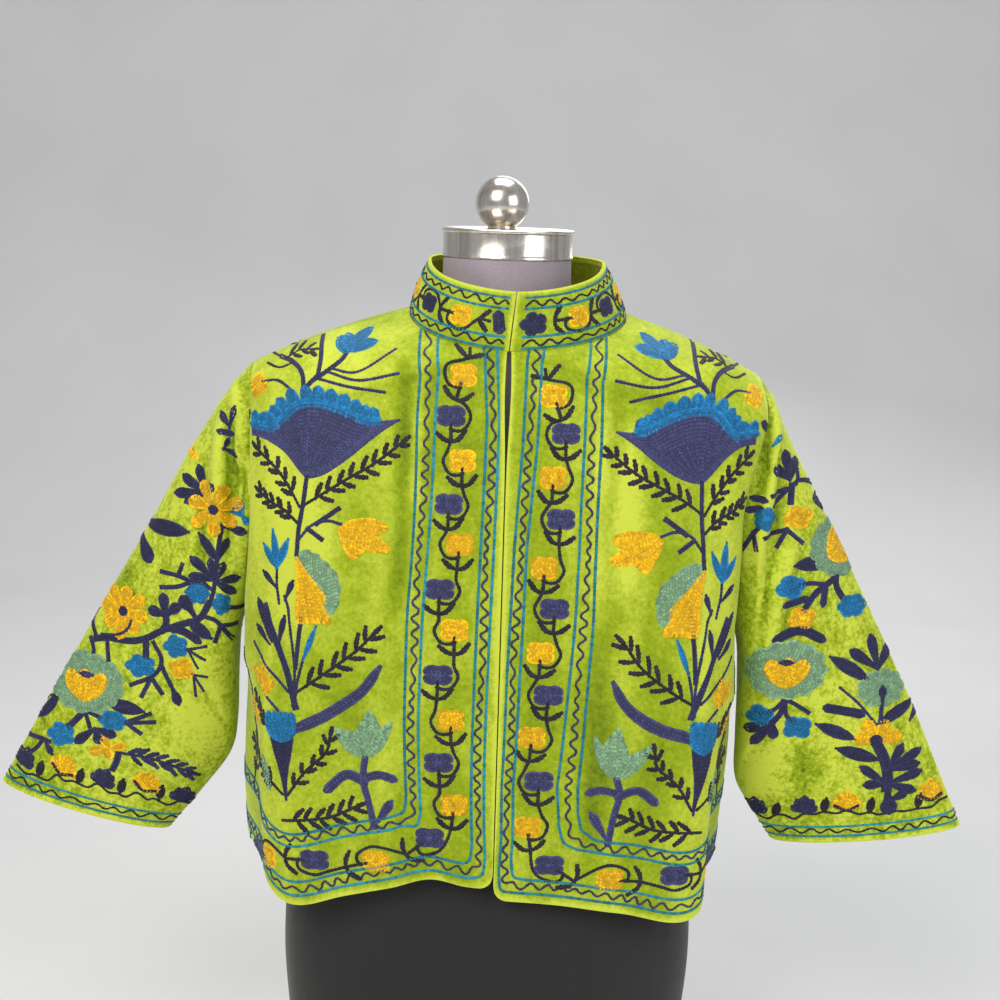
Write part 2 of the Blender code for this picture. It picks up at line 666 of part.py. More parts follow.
def build():
    """Makes every piece."""
    clear_scene()
    collection = bpy.data.collections.new(COLLECTION)
    bpy.context.scene.collection.children.link(collection)
    velvet = material("lime velvet", (0.42, 0.58, 0.06), 0.85)
    velvet_sleeve = material("lime velvet, sleeves", (0.38, 0.53, 0.06), 0.85)
    jersey = material("charcoal jersey", (0.035, 0.034, 0.037), 0.9)
    chrome = material("chrome", (0.80, 0.79, 0.77), 0.12, 1.0)

    heights = panel_heights()
    front_shares = np.array(FRONT_COLUMNS)
    back_shares = np.linspace(0.0, 1.0, BACK_COLUMNS + 1)
    fronts = {side: panel_sheet(side, -1, front_shares, heights) for side in (-1, 1)}
    backs = {side: panel_sheet(side, 1, back_shares, heights) for side in (-1, 1)}
    join_halves(backs, heights)

    armhole_turns = [(h - SIDE_SHARE) / (1 - SIDE_SHARE) for h in heights if h >= SIDE_SHARE]
    around = [(-1, turn) for turn in armhole_turns]
    around += [(1, turn) for turn in reversed(armhole_turns[:-1])]
    lengths = np.linspace(0.0, 1.0, SLEEVE_ROWS + 1) ** 1.15
    sleeves = {}
    for side in (-1, 1):
        points, normals = sleeve_grid(side, around, lengths)
        points[:, :, 0] += side * SEAM / 2
        sleeves[side] = (points, normals)

    share_normals([*fronts.values(), *backs.values(), *sleeves.values()])

    neck_turns = np.linspace(0.0, 1.0, ROWS_AT_NECK + 1)
    collar_turns = [(-1, -1, turn) for turn in neck_turns]
    collar_turns += [(-1, 1, turn) for turn in neck_turns[-2::-1]]
    collar_turns += [(1, 1, turn) for turn in neck_turns[1:]]
    collar_turns += [(1, -1, turn) for turn in neck_turns[-2::-1]]
    collar = collar_grid(collar_turns, np.linspace(0.0, 1.0, COLLAR_ROWS + 1))

    cloth_piece("front_right", [fronts[-1]], velvet, collection)
    cloth_piece("front_left", [fronts[1]], velvet, collection)
    cloth_piece("back", [backs[-1], backs[1]], velvet, collection)
    cloth_piece("sleeve_right", [sleeves[-1]], velvet_sleeve, collection)
    cloth_piece("sleeve_left", [sleeves[1]], velvet_sleeve, collection)
    cloth_piece("collar", [collar], velvet, collection)
    form_torso(jersey, collection)
    turned("form_cap", CAP_PROFILE, CAP_STEPS, chrome, collection)
    finial = turned("form_finial", ball_profile(), BALL_STEPS, chrome, collection)
    finial.location.x = BALL_MIDDLE_X


build()
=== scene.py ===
"""Looks of a suzani jacket of lime velvet, embroidered in chain stitch, on its dress form.

X runs to the viewer's right, Y from the jacket's front to its back, Z is up, in metres.
Side -1 is the wearer's right and side +1 the wearer's left. Face -1 is the front.
"""

import math
import random

import bmesh
import bpy
import numpy as np
from mathutils import Matrix, Vector
from mathutils.bvhtree import BVHTree


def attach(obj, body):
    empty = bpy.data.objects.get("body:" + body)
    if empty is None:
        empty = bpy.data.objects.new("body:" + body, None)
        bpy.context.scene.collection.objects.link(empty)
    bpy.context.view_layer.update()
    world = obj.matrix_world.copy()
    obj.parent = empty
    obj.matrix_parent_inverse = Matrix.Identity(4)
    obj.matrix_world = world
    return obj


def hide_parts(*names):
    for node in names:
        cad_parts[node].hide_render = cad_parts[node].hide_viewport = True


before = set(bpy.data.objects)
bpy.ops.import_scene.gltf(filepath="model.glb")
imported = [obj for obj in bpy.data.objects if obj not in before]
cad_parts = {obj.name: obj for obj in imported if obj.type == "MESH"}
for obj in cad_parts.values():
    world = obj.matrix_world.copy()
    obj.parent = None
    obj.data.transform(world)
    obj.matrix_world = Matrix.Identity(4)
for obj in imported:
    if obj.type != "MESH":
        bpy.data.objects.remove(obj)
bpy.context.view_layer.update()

# Sizes of the cut and of the way it hangs, as in the part, in metres
CLOTH = 0.0020  # velvet and its turned edges
SEAM = 0.0006  # room between two pieces that are sewn together
COLLAR_SEAM = 0.0003  # the collar stands this far above the neckline
UNDERARM = 0.462  # height where the side seam meets the armhole
ARMHOLE_TOP = 0.680  # height where the shoulder seam meets the armhole
ARMHOLE_MIDDLE_Y = -0.004
ARMHOLE_HALF_DEPTH = 0.056
SHOULDER_ARCH = 0.0045  # the shoulder seam rises this much above a straight line
HEM_CORNER = 0.012  # radius of the rounded corner at the centre front
HEM_SHAPING = 0.36  # the share of a panel's height that the hem's curve reaches
SIDE_SHARE = 0.43  # a panel's outer edge is side seam up to this share, then armhole
CENTRE_SHARE = 0.82  # its inner edge is straight up to this share, then neckline
COLLAR_SWELL = 0.0015  # the collar's face is this much fuller half way up
FRONT_OPENING = 0.0005  # from the middle line to either front's edge
SLIT_WIDTH = 0.0022  # the fronts part this much more under the collar
SLIT_HEIGHT = 0.672
SLIT_LENGTH = 0.045
SLEEVE_LENGTH = 0.43
SLEEVE_RADIUS = 0.075
CUFF_SAG = 0.003  # the middle of a cuff's edge hangs this much below its ends
HEAD_BLEND = 0.22  # the armhole's own curve fades out of the sleeve by this share
COLLAR_RUN = 0.520  # how long the collar's drawing is
BALL_RADIUS = 0.0238
BALL_MIDDLE_X = -0.006
BALL_MIDDLE_Z = 0.8262
BALL_FOOT_RADIUS = 0.0125
BALL_FOOT_BOTTOM = 0.8043
MM = 0.001

# Side and face of each half of the body
PANELS = {"front_right": (-1, -1), "front_left": (1, -1), "back_right": (-1, 1), "back_left": (1, 1)}


def in_metres(rows, *kept):
    """A table whose lengths are in millimetres, turned to metres but for the kept columns."""
    table = np.array(rows, float)
    per_metre = np.full(table.shape[-1], 1000.0)
    per_metre[list(kept)] = 1.0
    return table / per_metre


# Side seam: height, wearer's right, wearer's left, how far back it lies
SIDE_SEAM = in_metres((
    (245, -224.5, 208.5, 20), (295, -228.5, 213, 17), (345, -228.8, 216.5, 12), (410, -226.6, 215, 4),
    (462, -226.2, 213.5, -4),
))

# Armhole: height, wearer's right, wearer's left
ARMHOLE = in_metres((
    (462, -226.2, 213.5), (520, -220, 213.5), (575, -218.5, 215), (615, -220, 225), (650, -222, 233),
    (680, -224, 229),
))

# Centre line of each face: height, front, back
CENTRE = in_metres((
    (225, -118, 106), (300, -121, 103), (400, -124, 100), (500, -126, 101), (580, -124, 105),
    (640, -117, 105), (680, -107, 98), (703, -100, 91), (738, -90, 77),
))

# How square a panel turns from its face to its side: height share, wearer's right front,
# wearer's left front, back
TURN = (
    (0, 5.8, 7.5, 2.9), (0.18, 4.8, 5.8, 2.8), (0.45, 3.2, 3.6, 2.7), (0.8, 2.7, 2.7, 2.5),
    (1, 2.2, 2.2, 2.2),
)

# Collar rings: middle x of the front, wearer's right, wearer's left, then front, side and
# back y, then front, side and back z
NECKLINE = in_metres((4, -86, 108, -100, 4, 77, 703, 730, 738))
COLLAR_TOP = in_metres((9, -69, 86, -85, 0, 67, 753, 777, 781))
BACK_MIDDLE_X = (NECKLINE[1] + NECKLINE[2]) / 2

# Hem, in millimetres: distance from the centre front or centre back, then the height there
HEMS = {
    "front_right": (
        (0, 234), (25, 236), (50, 242), (90, 232), (130, 223), (182, 213), (222, 234), (262, 244),
        (340, 252),
    ),
    "front_left": ((0, 224), (60, 221), (110, 215), (178, 209), (216, 228), (256, 240), (330, 246)),
    "back_right": ((0, 254), (90, 258), (170, 249), (230, 251), (300, 262)),
}
HEMS["back_left"] = HEMS["back_right"]

# Folds in a panel, in millimetres: distance from the centre line and height at both ends, then
# half width and depth. A ridge is above zero and a trough is below it. On the back, the distance
# is below zero on the wearer's right.
FOLDS = {
    "front_right": (
        (228, 150, 262, 420, 42, -18), (85, 480, 62, 640, 16, -3), (120, 200, 128, 420, 30, -4),
        (0, 300, 0, 700, 20, 1.6),
    ),
    "front_left": (
        (222, 150, 236, 400, 38, -18), (130, 170, 135, 360, 30, -4), (175, 640, 200, 520, 24, -3.5),
    ),
    "back_right": (
        (-205, 200, -190, 430, 34, -8), (-120, 200, -118, 560, 30, 6), (-40, 200, -50, 520, 34, -6),
        (75, 200, 85, 500, 34, 6), (150, 200, 140, 470, 34, -7), (215, 200, 215, 380, 30, 5),
    ),
}
FOLDS["back_left"] = FOLDS["back_right"]

# Sleeve sections from armhole to cuff: share, then in millimetres outer x and z, inner x and z,
# middle y and half depth
SLEEVES = {
    "sleeve_right": (
        (0, -224, 680, -226.2, 462, -4, 56), (0.08, -240, 661, -232.2, 436, -4, 55),
        (0.22, -275, 607, -234, 398, -3, 53), (0.4, -311, 540, -234.5, 352, -1, 47),
        (0.6, -353, 465, -241, 318, 2, 39), (0.8, -403, 375, -267, 281, 4, 31),
        (1, -452, 284, -297, 244, 4, 24),
    ),
    "sleeve_left": (
        (0, 229, 680, 213.5, 462, -4, 56), (0.08, 240.5, 660, 219.5, 436, -4, 55),
        (0.22, 265, 612, 222, 396, -3, 53), (0.4, 300, 546, 222.5, 346, -1, 47),
        (0.6, 342, 466, 224.5, 308, 2, 39), (0.8, 387, 376, 240, 280, 4, 31),
        (1, 435, 269, 260, 251, 4, 24),
    ),
}

# Folds in a sleeve: share of the length and angle above the inner edge in degrees at both
# ends, front below zero, then half width and depth in millimetres
SLEEVE_FOLDS = {
    "sleeve_right": (
        (0.06, -140, 0.11, -70, 10, -7), (0.11, -150, 0.19, -60, 11, 5),
        (0.19, -145, 0.28, -80, 13, -4.5), (0.08, 140, 0.14, 70, 12, -6.5),
        (0.16, 150, 0.26, 80, 14, 4.5), (0.45, -40, 0.62, -100, 20, -4), (0.48, 40, 0.64, 110, 20, -4.5),
    ),
    "sleeve_left": (
        (0.05, -150, 0.12, -70, 11, 6), (0.12, -150, 0.22, -60, 13, -6.5), (0.26, -130, 0.3, -60, 16, 4),
        (0.08, 145, 0.15, 75, 12, -6.5), (0.17, 150, 0.27, 80, 14, 4.5), (0.5, -30, 0.66, -90, 20, -4),
        (0.44, 45, 0.6, 110, 20, -4.5),
    ),
}

# Creases finer than the part's folds, in millimetres: place on the flat cloth at both ends, half
# width, depth. A sleeve's row begins with its face, and its places are distance out and height.
CREASES = {
    "front_right": (
        (93, 470, 92, 702, 10, -3), (80, 455, 80, 700, 6, 1.8), (190, 690, 205, 560, 13, -2),
        (212, 640, 205, 500, 8, 1.6), (135, 480, 125, 330, 20, -2.6), (105, 420, 100, 250, 14, 2),
        (205, 470, 208, 330, 7, 2.6), (50, 300, 53, 230, 12, 2.2),
    ),
    "front_left": (
        (100, 480, 98, 700, 12, -2.2), (86, 470, 87, 690, 7, 1.4), (180, 480, 178, 330, 8, 2.6),
        (135, 460, 142, 300, 18, -2.4), (105, 330, 108, 230, 15, 2), (200, 560, 195, 480, 8, -1.6),
    ),
    "back_right": (
        (150, 680, 165, 520, 12, -2.4), (115, 430, 120, 270, 15, 2.2), (195, 470, 200, 320, 9, 2.4),
    ),
    "back_left": (
        (145, 670, 158, 500, 12, -2.2), (90, 400, 95, 270, 16, 2), (185, 480, 188, 310, 9, 2.2),
    ),
    "sleeve_right": (
        (-1, 240, 668, 224, 572, 6, 4), (-1, 248, 652, 246, 545, 7, 3.4),
        (-1, 243, 650, 236, 550, 5, -3.4), (-1, 227, 598, 226, 552, 5, -8),
        (-1, 262, 500, 290, 430, 12, -3), (-1, 256, 430, 290, 350, 10, 3),
        (-1, 286, 400, 315, 320, 12, -2.8), (-1, 345, 440, 380, 340, 13, 1.8),
        (1, 243, 655, 232, 560, 7, 3.6), (1, 256, 640, 252, 540, 8, -3), (1, 270, 470, 300, 370, 13, 3),
        (1, 300, 450, 335, 350, 12, -2.6),
    ),
    "sleeve_left": (
        (-1, 235, 671, 244, 612, 7, 4), (-1, 244, 616, 224, 520, 7, 3.6),
        (-1, 230, 650, 232, 565, 5.5, -3.4), (-1, 256, 600, 242, 510, 7, -3),
        (-1, 240, 440, 260, 340, 11, 3), (-1, 265, 410, 285, 310, 11, -2.8),
        (-1, 330, 430, 360, 330, 13, 1.8), (1, 238, 660, 230, 560, 7, 3.6), (1, 252, 630, 246, 540, 8, -3),
        (1, 258, 460, 286, 360, 13, 3), (1, 290, 440, 320, 340, 12, -2.6),
    ),
}

# Patches of painted sheen and shade on the pile, where light strokes it pale (above 0) or
# turns it olive (below): as the creases, but with a strength instead of the depth
PAINTED_PILE_SHEEN = {
    "front_right": (
        (205, 650, 195, 440, 22, 0.1), (92, 580, 86, 370, 19, -0.1), (130, 705, 190, 680, 22, 0.06),
        (150, 565, 140, 490, 24, 0.06), (120, 370, 140, 290, 26, 0.06), (235, 420, 240, 270, 20, 0.06),
        (150, 440, 165, 400, 18, -0.05), (44, 700, 44, 260, 14, -0.04), (4, 700, 4, 260, 8, 0.06),
        (96, 715, 96, 600, 24, -0.08), (240, 655, 225, 560, 14, -0.04), (170, 712, 200, 700, 18, -0.07),
    ),
    "front_left": (
        (108, 650, 106, 490, 18, 0.13), (105, 475, 104, 400, 16, 0.1), (89, 480, 86, 240, 13, -0.12),
        (90, 600, 88, 500, 9, -0.08), (200, 620, 195, 440, 18, 0.09), (140, 700, 190, 680, 20, 0.06),
        (140, 340, 150, 260, 30, 0.06), (40, 680, 34, 280, 16, -0.05), (4, 700, 4, 260, 8, 0.06),
    ),
    "back_right": (
        (70, 640, 75, 420, 24, 0.08), (130, 560, 120, 330, 18, -0.1), (195, 610, 205, 420, 24, 0.09),
        (110, 330, 160, 290, 24, 0.06),
    ),
    "back_left": (
        (70, 600, 75, 380, 22, -0.08), (140, 660, 130, 450, 24, 0.09), (200, 520, 190, 330, 18, -0.08),
        (100, 340, 150, 280, 28, 0.06),
    ),
    "sleeve_right": (
        (-1, 272, 420, 262, 300, 22, 0.11), (-1, 350, 490, 385, 430, 18, 0.06),
        (-1, 262, 570, 268, 480, 14, -0.07), (-1, 235, 650, 231, 560, 10, -0.06),
        (-1, 300, 350, 335, 300, 18, -0.05), (1, 280, 560, 300, 440, 20, 0.08),
        (1, 330, 430, 370, 330, 20, -0.07),
    ),
    "sleeve_left": (
        (-1, 236, 390, 248, 290, 18, 0.11), (-1, 262, 520, 275, 430, 15, -0.07),
        (-1, 318, 480, 345, 415, 16, 0.08), (-1, 262, 350, 300, 305, 18, -0.08),
        (-1, 372, 420, 402, 330, 14, 0.07), (1, 270, 570, 290, 450, 20, -0.08),
        (1, 310, 430, 350, 330, 22, 0.08),
    ),
}

# Turned edges, in millimetres: the roll's height, its middle and half width, then the same of
# the groove of its stitching; and how deep and how wide the cloth dips into a seam
ROLL = (0.60, 1.9, 1.7)
GROOVE = (-0.55, 5.2, 1.2)
DIP = (-0.9, 0.0, 3.0)

# Dress form: height, half width, front y, back y, then its squareness
FORM = in_metres((
    (0, 174, -94, 98, 2.7), (4, 176.5, -97, 101, 2.7), (50, 179.5, -100, 104, 2.7),
    (150, 188, -104, 107, 2.7), (210, 185.5, -104, 98, 2.6), (290, 173, -102, 92, 2.5),
    (380, 158, -100, 86, 2.4), (460, 164, -106, 88, 2.4), (540, 178, -113, 94, 2.5),
    (600, 187, -110, 97, 2.6), (640, 189, -99, 94, 2.5), (670, 188, -82, 88, 2.2),
    (685, 183, -71, 80, 1.9), (696, 174, -62, 70, 1.7), (704.5, 156, -57, 64, 1.6),
    (712, 133, -54, 61, 1.6), (718, 112, -53, 60, 1.6), (724, 85, -54, 59, 1.7), (731, 70, -56, 59, 1.9),
    (740, 62.5, -57, 58, 2), (754, 58.5, -57.5, 58, 2), (777.7, 57.5, -57.5, 57.5, 2),
), -1)
FORM_SEAMS = (-0.183, -0.124, 0.083, 0.158)

# Neck cap, from the top on its axis down its outer side: radius and height
CAP = in_metres((
    (0, 804), (55.5, 804), (57.8, 803.7), (58.6, 803), (58.6, 801.2), (58.2, 800.5), (57.4, 800),
    (57.4, 781.5), (57.8, 780.8), (58.2, 780), (58.2, 778.8), (57.2, 778), (0, 778),
))


def curve_through(rows, at):
    """The columns of a table, read at any values of its first column, on a smooth curve."""
    rows = np.array(rows, float)
    knots, values = rows[:, 0], rows[:, 1:]
    steps = np.diff(knots)[:, None]
    slopes = np.diff(values, axis=0) / steps
    bends = np.empty_like(values)
    bends[0], bends[-1] = slopes[0], slopes[-1]
    bends[1:-1] = (slopes[:-1] * steps[1:] + slopes[1:] * steps[:-1]) / (steps[1:] + steps[:-1])
    at = np.clip(np.atleast_1d(np.asarray(at, float)), knots[0], knots[-1])
    cell = np.clip(np.searchsorted(knots, at, side="right") - 1, 0, len(knots) - 2)
    width = steps[cell]
    s = (at[:, None] - knots[cell][:, None]) / width
    start = (1 + 2 * s) * (1 - s) ** 2 * values[cell] + s * (1 - s) ** 2 * width * bends[cell]
    end = s * s * (3 - 2 * s) * values[cell + 1] + s * s * (s - 1) * width * bends[cell + 1]
    return start + end


def unit(vectors):
    """Vectors made one unit long."""
    return vectors / np.maximum(np.linalg.norm(vectors, axis=-1, keepdims=True), 1e-12)


def normals_of(grid, outward):
    """Normals of a grid of points, on the side that outward points to."""
    up = np.gradient(grid, axis=0, edge_order=2)
    across = np.gradient(grid, axis=1, edge_order=2)
    normals = unit(np.cross(across, up))
    facing = np.sum(normals * outward, axis=-1, keepdims=True)
    return normals * np.where(facing.mean() < 0, -1.0, 1.0)


def tube_normals(grid, outward):
    """Normals of a tube whose last column comes round to its first."""
    wrapped = [np.concatenate((each[:, -2:-1], each, each[:, 1:2]), axis=1) for each in (grid, outward)]
    return normals_of(*wrapped)[:, 1:-1]


def relief(folds, x, y):
    """Height of the folds at points whose place on the cloth is x and y."""
    height = np.zeros(np.broadcast(x, y).shape)
    for x0, y0, x1, y1, half_width, depth in folds:
        run = np.array((x1 - x0, y1 - y0))
        along = np.clip(((x - x0) * run[0] + (y - y0) * run[1]) / run.dot(run), 0.0, 1.0)
        away = np.hypot(x - x0 - along * run[0], y - y0 - along * run[1])
        taper = 1.0 - np.abs(2.0 * along - 1.0) ** 3
        height += depth * taper * np.exp(-((away / half_width) ** 2))
    return height


def neck_ring(ring, side, face, turn):
    """Points on a quarter of a collar ring. turn is 0 at the centre line, 1 at the side."""
    middle, right, left, front_y, side_y, back_y, front_z, side_z, back_z = ring
    turn = np.atleast_1d(np.asarray(turn, float))
    angle = turn * math.pi / 2
    in_front = (middle, front_y, front_z)
    centre_x, centre_y, centre_z = in_front if face < 0 else ((right + left) / 2, back_y, back_z)
    x = centre_x + ((right if side < 0 else left) - centre_x) * np.sin(angle)
    y = side_y + (centre_y - side_y) * np.cos(angle)
    z = centre_z + (side_z - centre_z) * turn**1.6
    return np.stack((x, y, z), axis=-1)


def armhole_ring(side, face, turn):
    """Points on half of an armhole. turn is 0 at the underarm and 1 at the shoulder."""
    angle = (np.atleast_1d(np.asarray(turn, float)) - 0.5) * math.pi
    z = (ARMHOLE_TOP + UNDERARM) / 2 + (ARMHOLE_TOP - UNDERARM) / 2 * np.sin(angle)
    x = curve_through(ARMHOLE, z)[:, 0 if side < 0 else 1]
    y = ARMHOLE_MIDDLE_Y + face * ARMHOLE_HALF_DEPTH * np.cos(angle)
    return np.stack((x, y, z), axis=-1)


def inner_edge(side, face, low, heights):
    """The panel's edge at the centre line from its hem, at height low, then round the neckline."""
    high = NECKLINE[8] if face > 0 else NECKLINE[6]
    z = low + (high - low) * np.clip(heights / CENTRE_SHARE, 0.0, 1.0)
    y = curve_through(CENTRE, z)[:, 0 if face < 0 else 1]
    turn = (heights - CENTRE_SHARE) / (1 - CENTRE_SHARE)
    curved = neck_ring(NECKLINE, side, face, np.clip(turn, 0.0, 1.0))
    if face < 0:
        parting = SLIT_WIDTH * np.exp(-(((z - SLIT_HEIGHT) / SLIT_LENGTH) ** 2))
        x = NECKLINE[0] + side * (FRONT_OPENING + parting)
        curved[:, 0] += side * FRONT_OPENING * (1 - np.clip(turn, 0.0, 1.0))
    else:
        x = np.full_like(z, BACK_MIDDLE_X * heights / CENTRE_SHARE)
    return np.where(turn[:, None] > 0, curved, np.stack((x, y, z), axis=-1))


def outer_edge(side, face, heights):
    """The panel's edge up the side seam, then round the armhole to the shoulder."""
    low = SIDE_SEAM[0][0]
    z = low + (UNDERARM - low) * np.clip(heights / SIDE_SHARE, 0.0, 1.0)
    places = curve_through(SIDE_SEAM, z)
    seam = np.stack((places[:, 0 if side < 0 else 1], places[:, 2], z), axis=-1)
    turn = (heights - SIDE_SHARE) / (1 - SIDE_SHARE)
    ring = armhole_ring(side, face, np.clip(turn, 0.0, 1.0))
    return np.where(turn[:, None] > 0, ring, seam)


def panel_row(inner, outer, squareness, shares):
    """One row across a panel, flat on its face and rounded into its side, and its length."""
    angle = np.linspace(0.0, math.pi / 2, 241)
    across = np.sin(angle) ** (2 / squareness)
    x = inner[0] + (outer[0] - inner[0]) * across
    y = outer[1] + (inner[1] - outer[1]) * np.cos(angle) ** (2 / squareness)
    z = inner[2] + (outer[2] - inner[2]) * across
    lengths = np.sqrt(np.diff(x) ** 2 + np.diff(y) ** 2 + np.diff(z) ** 2)
    reached = np.concatenate(((0.0,), np.cumsum(lengths)))
    row = [np.interp(shares * reached[-1], reached, values) for values in (x, y, z, across)]
    return np.stack(row, axis=-1), reached[-1]


def panel_grid(name, shares, heights):
    """Points of half a front or back, a row for each height share, and their normals."""
    side, face = PANELS[name]
    hem = in_metres(HEMS[name])
    inner, outer = inner_edge(side, face, hem[0][1], heights), outer_edge(side, face, heights)
    squareness = curve_through(TURN, heights)[:, 2 if face > 0 else (0 if side < 0 else 1)]
    rows = [panel_row(*each, shares) for each in zip(inner, outer, squareness)]
    grid = np.array([row for row, _ in rows])
    lengths = np.array([length for _, length in rows])
    across, grid = grid[:, :, 3], grid[:, :, :3]
    on_shoulder = np.clip((heights[:, None] - 0.7) / 0.3, 0, 1)
    grid[:, :, 2] += SHOULDER_ARCH * np.sin(math.pi * across) * on_shoulder
    hem = curve_through(hem, shares * lengths[0])[:, 0]
    if face < 0:
        inset = np.clip(HEM_CORNER - shares * lengths[0], 0.0, HEM_CORNER)
        hem = hem + HEM_CORNER - np.sqrt(HEM_CORNER**2 - inset**2)
    fade = np.clip(1 - heights / HEM_SHAPING, 0.0, 1.0) ** 2
    grid[:, :, 2] += (hem - grid[0, :, 2])[None, :] * fade[:, None]
    outward = np.zeros_like(grid)
    outward[:, :, 0] = side * across**2
    outward[:, :, 1] = face
    distance = shares[None, :] * lengths[:, None] * (side if face > 0 else 1)
    folds = relief(in_metres(FOLDS[name]), distance, grid[:, :, 2])
    grid = grid + normals_of(grid, outward) * folds[:, :, None]
    return grid, normals_of(grid, outward)


def sleeve_rings(places, faces, angles):
    """A ring of points for each section: outer x and z, inner x and z, middle y, half depth."""
    outer_x, outer_z, inner_x, inner_z, y, depth = places.T[:, :, None]
    x = (outer_x + inner_x) / 2 + (outer_x - inner_x) / 2 * np.sin(angles)
    z = (outer_z + inner_z) / 2 + (outer_z - inner_z) / 2 * np.sin(angles)
    return np.stack((x, y + depth * (faces * np.cos(angles)), z), axis=-1)


def sleeve_grid(name, side, turns, shares):
    """Points of a sleeve, a ring for each share of its length, and their normals.

    turns holds a pair for each point of a ring: its face, and its turn up the armhole.
    """
    table = in_metres(SLEEVES[name], 0)
    faces, angles = np.array([(face, (turn - 0.5) * math.pi) for face, turn in turns]).T
    places = curve_through(table, shares)
    grid = sleeve_rings(places, faces, angles)
    armhole = np.array([armhole_ring(side, face, turn)[0] for face, turn in turns])
    fade = np.clip(1 - shares / HEAD_BLEND, 0.0, 1.0) ** 2
    grid = grid + (armhole - sleeve_rings(table[:1, 1:], faces, angles)) * fade[:, None, None]
    grid[:, :, 2] -= CUFF_SAG * (shares**4)[:, None] * np.cos(angles)[None, :]
    outer, inner = places[:, (0, 4, 1)], places[:, (2, 4, 3)]
    outward = grid - ((outer + inner) / 2)[:, None]
    round_it = math.radians(1) * SLEEVE_RADIUS
    folds = np.array(SLEEVE_FOLDS[name]) * (SLEEVE_LENGTH, round_it, SLEEVE_LENGTH, round_it, MM, MM)
    around = faces * (angles + math.pi / 2) * SLEEVE_RADIUS
    height = relief(folds, shares[:, None] * SLEEVE_LENGTH, around[None, :])
    grid = grid + tube_normals(grid, outward) * height[:, :, None]
    return grid, tube_normals(grid, outward)


def collar_grid(turns, shares):
    """Points of the stand collar from the wearer's right front round to the left front.

    turns holds side, face and turn for each column; shares run up from the seam.
    """
    seam, top = (np.array([neck_ring(ring, *each)[0] for each in turns]) for ring in (NECKLINE, COLLAR_TOP))
    open_front = np.array([side * (1 - turn) if face < 0 else 0.0 for side, face, turn in turns])
    seam[:, 0] += FRONT_OPENING * open_front
    top[:, 0] += FRONT_OPENING * open_front
    seam[:, 2] += COLLAR_SEAM
    grid = seam[None] * (1 - shares[:, None, None]) + top[None] * shares[:, None, None]
    outward = grid.copy()
    outward[:, :, 0] -= NECKLINE[0]
    outward[:, :, 2] = 0.0
    swell = COLLAR_SWELL * np.sin(math.pi * shares)
    grid = grid + normals_of(grid, outward) * swell[:, None, None]
    return grid, normals_of(grid, outward)


# Columns at the back's centre line that are blended, so that its halves meet smoothly
CENTRE_BLEND = 9
# How often the rows by the foot of the armhole are evened out, and how many rows that reaches
EASINGS = 36
EASED_ROWS = 8
# Painted sheen and shade: how much paler the pile is painted on a bulge and on a turned edge,
# and darker in a hollow; and how wide such an edge is
BULGE_SHINE, EDGE_SHINE, EDGE_WIDTH = 0.11, 0.16, 0.0034


def join_halves(halves, heights):
    """Makes both halves of a piece without a centre seam end on the same line of points."""
    on_centre_line = heights <= CENTRE_SHARE
    for each in range(3):
        middle = sum(half[each][on_centre_line, 0] for half in halves.values()) / 2
        for half in halves.values():
            away = middle - half[each][on_centre_line, 0]
            for column in range(CENTRE_BLEND):
                half[each][on_centre_line, column] += away * (1 - column / CENTRE_BLEND)


def steps_with_close_ends(count, first=0.0032):
    """Shares from 0 to 1, evenly spaced but for seven close ones at each end."""
    close = np.array((0.0, 1.0, 2.0, 3.1, 4.4, 5.8, 7.4)) * first
    return np.r_[close, np.linspace(10 * first, 1 - 10 * first, count), 1 - close[::-1]]


def run_along(points, axis, backward=False):
    """How far each point of a grid lies from its first line, or its last, along the cloth."""
    steps = np.linalg.norm(np.diff(points, axis=axis), axis=2)
    start = np.zeros_like(np.take(steps, [0], axis=axis))
    run = np.concatenate((start, np.cumsum(steps, axis=axis)), axis=axis)
    return np.take(run, [-1], axis=axis) - run if backward else run


def flat_measures(points, centre_x):
    """How far each point of a panel lies from its centre line along the cloth."""
    return run_along(points, 1) + np.abs(points[:, :1, 0] - centre_x)


def ease_foot_of_armhole(points, heights):
    """Rounds the fold that runs into a panel from the foot of its armhole, but not its edge."""
    away = np.arange(len(heights)) - np.argmin(np.abs(heights - SIDE_SHARE))
    eased = points.copy()
    for _ in range(EASINGS):
        eased[1:-1] = (eased[:-2] + 2 * eased[1:-1] + eased[2:]) / 4
    off_edge = np.clip((run_along(points, 1, True) - 0.0015) / 0.012, 0.0, 1.0)
    near = np.exp(-((away / EASED_ROWS) ** 2))[:, None] * off_edge
    return points + (eased - points) * near[:, :, None]


def bump_at(shape, distance):
    """A soft ridge or trough: its height, middle and half width, all in millimetres."""
    height, middle, half_width = shape
    return height * MM * np.exp(-(((distance / MM - middle) / half_width) ** 2))


def finish_edges(points, normals, free, sewn):
    """Rolls the free edges and dips the sewn ones."""
    rise = bump_at(ROLL, free) + bump_at(GROOVE, free) + bump_at(DIP, sewn)
    return points + normals * rise[:, :, None]


def spread_out(values, times):
    """Values of a grid, each evened out with its neighbours that many times."""
    for _ in range(times):
        wide = np.pad(values, 1, mode="edge")
        values = (wide[:-2, 1:-1] + wide[2:, 1:-1] + wide[1:-1, :-2] + wide[1:-1, 2:]) / 4
    return values


def crest_of(points, normals):
    """How much the cloth bulges, above zero, or hollows, below it, beyond its broad shape."""
    bulge = np.zeros(points.shape[:2])
    for axis in (0, 1):
        step = np.gradient(points, axis=axis)
        turn = np.gradient(normals, axis=axis)
        bulge += np.sum(step * turn, axis=2) / np.maximum(np.sum(step * step, axis=2), 1e-9)
    bulge = spread_out(np.clip(bulge, -120.0, 120.0), 3)
    return np.clip((bulge - spread_out(bulge, 90)) / 42.0, -1.0, 1.0)


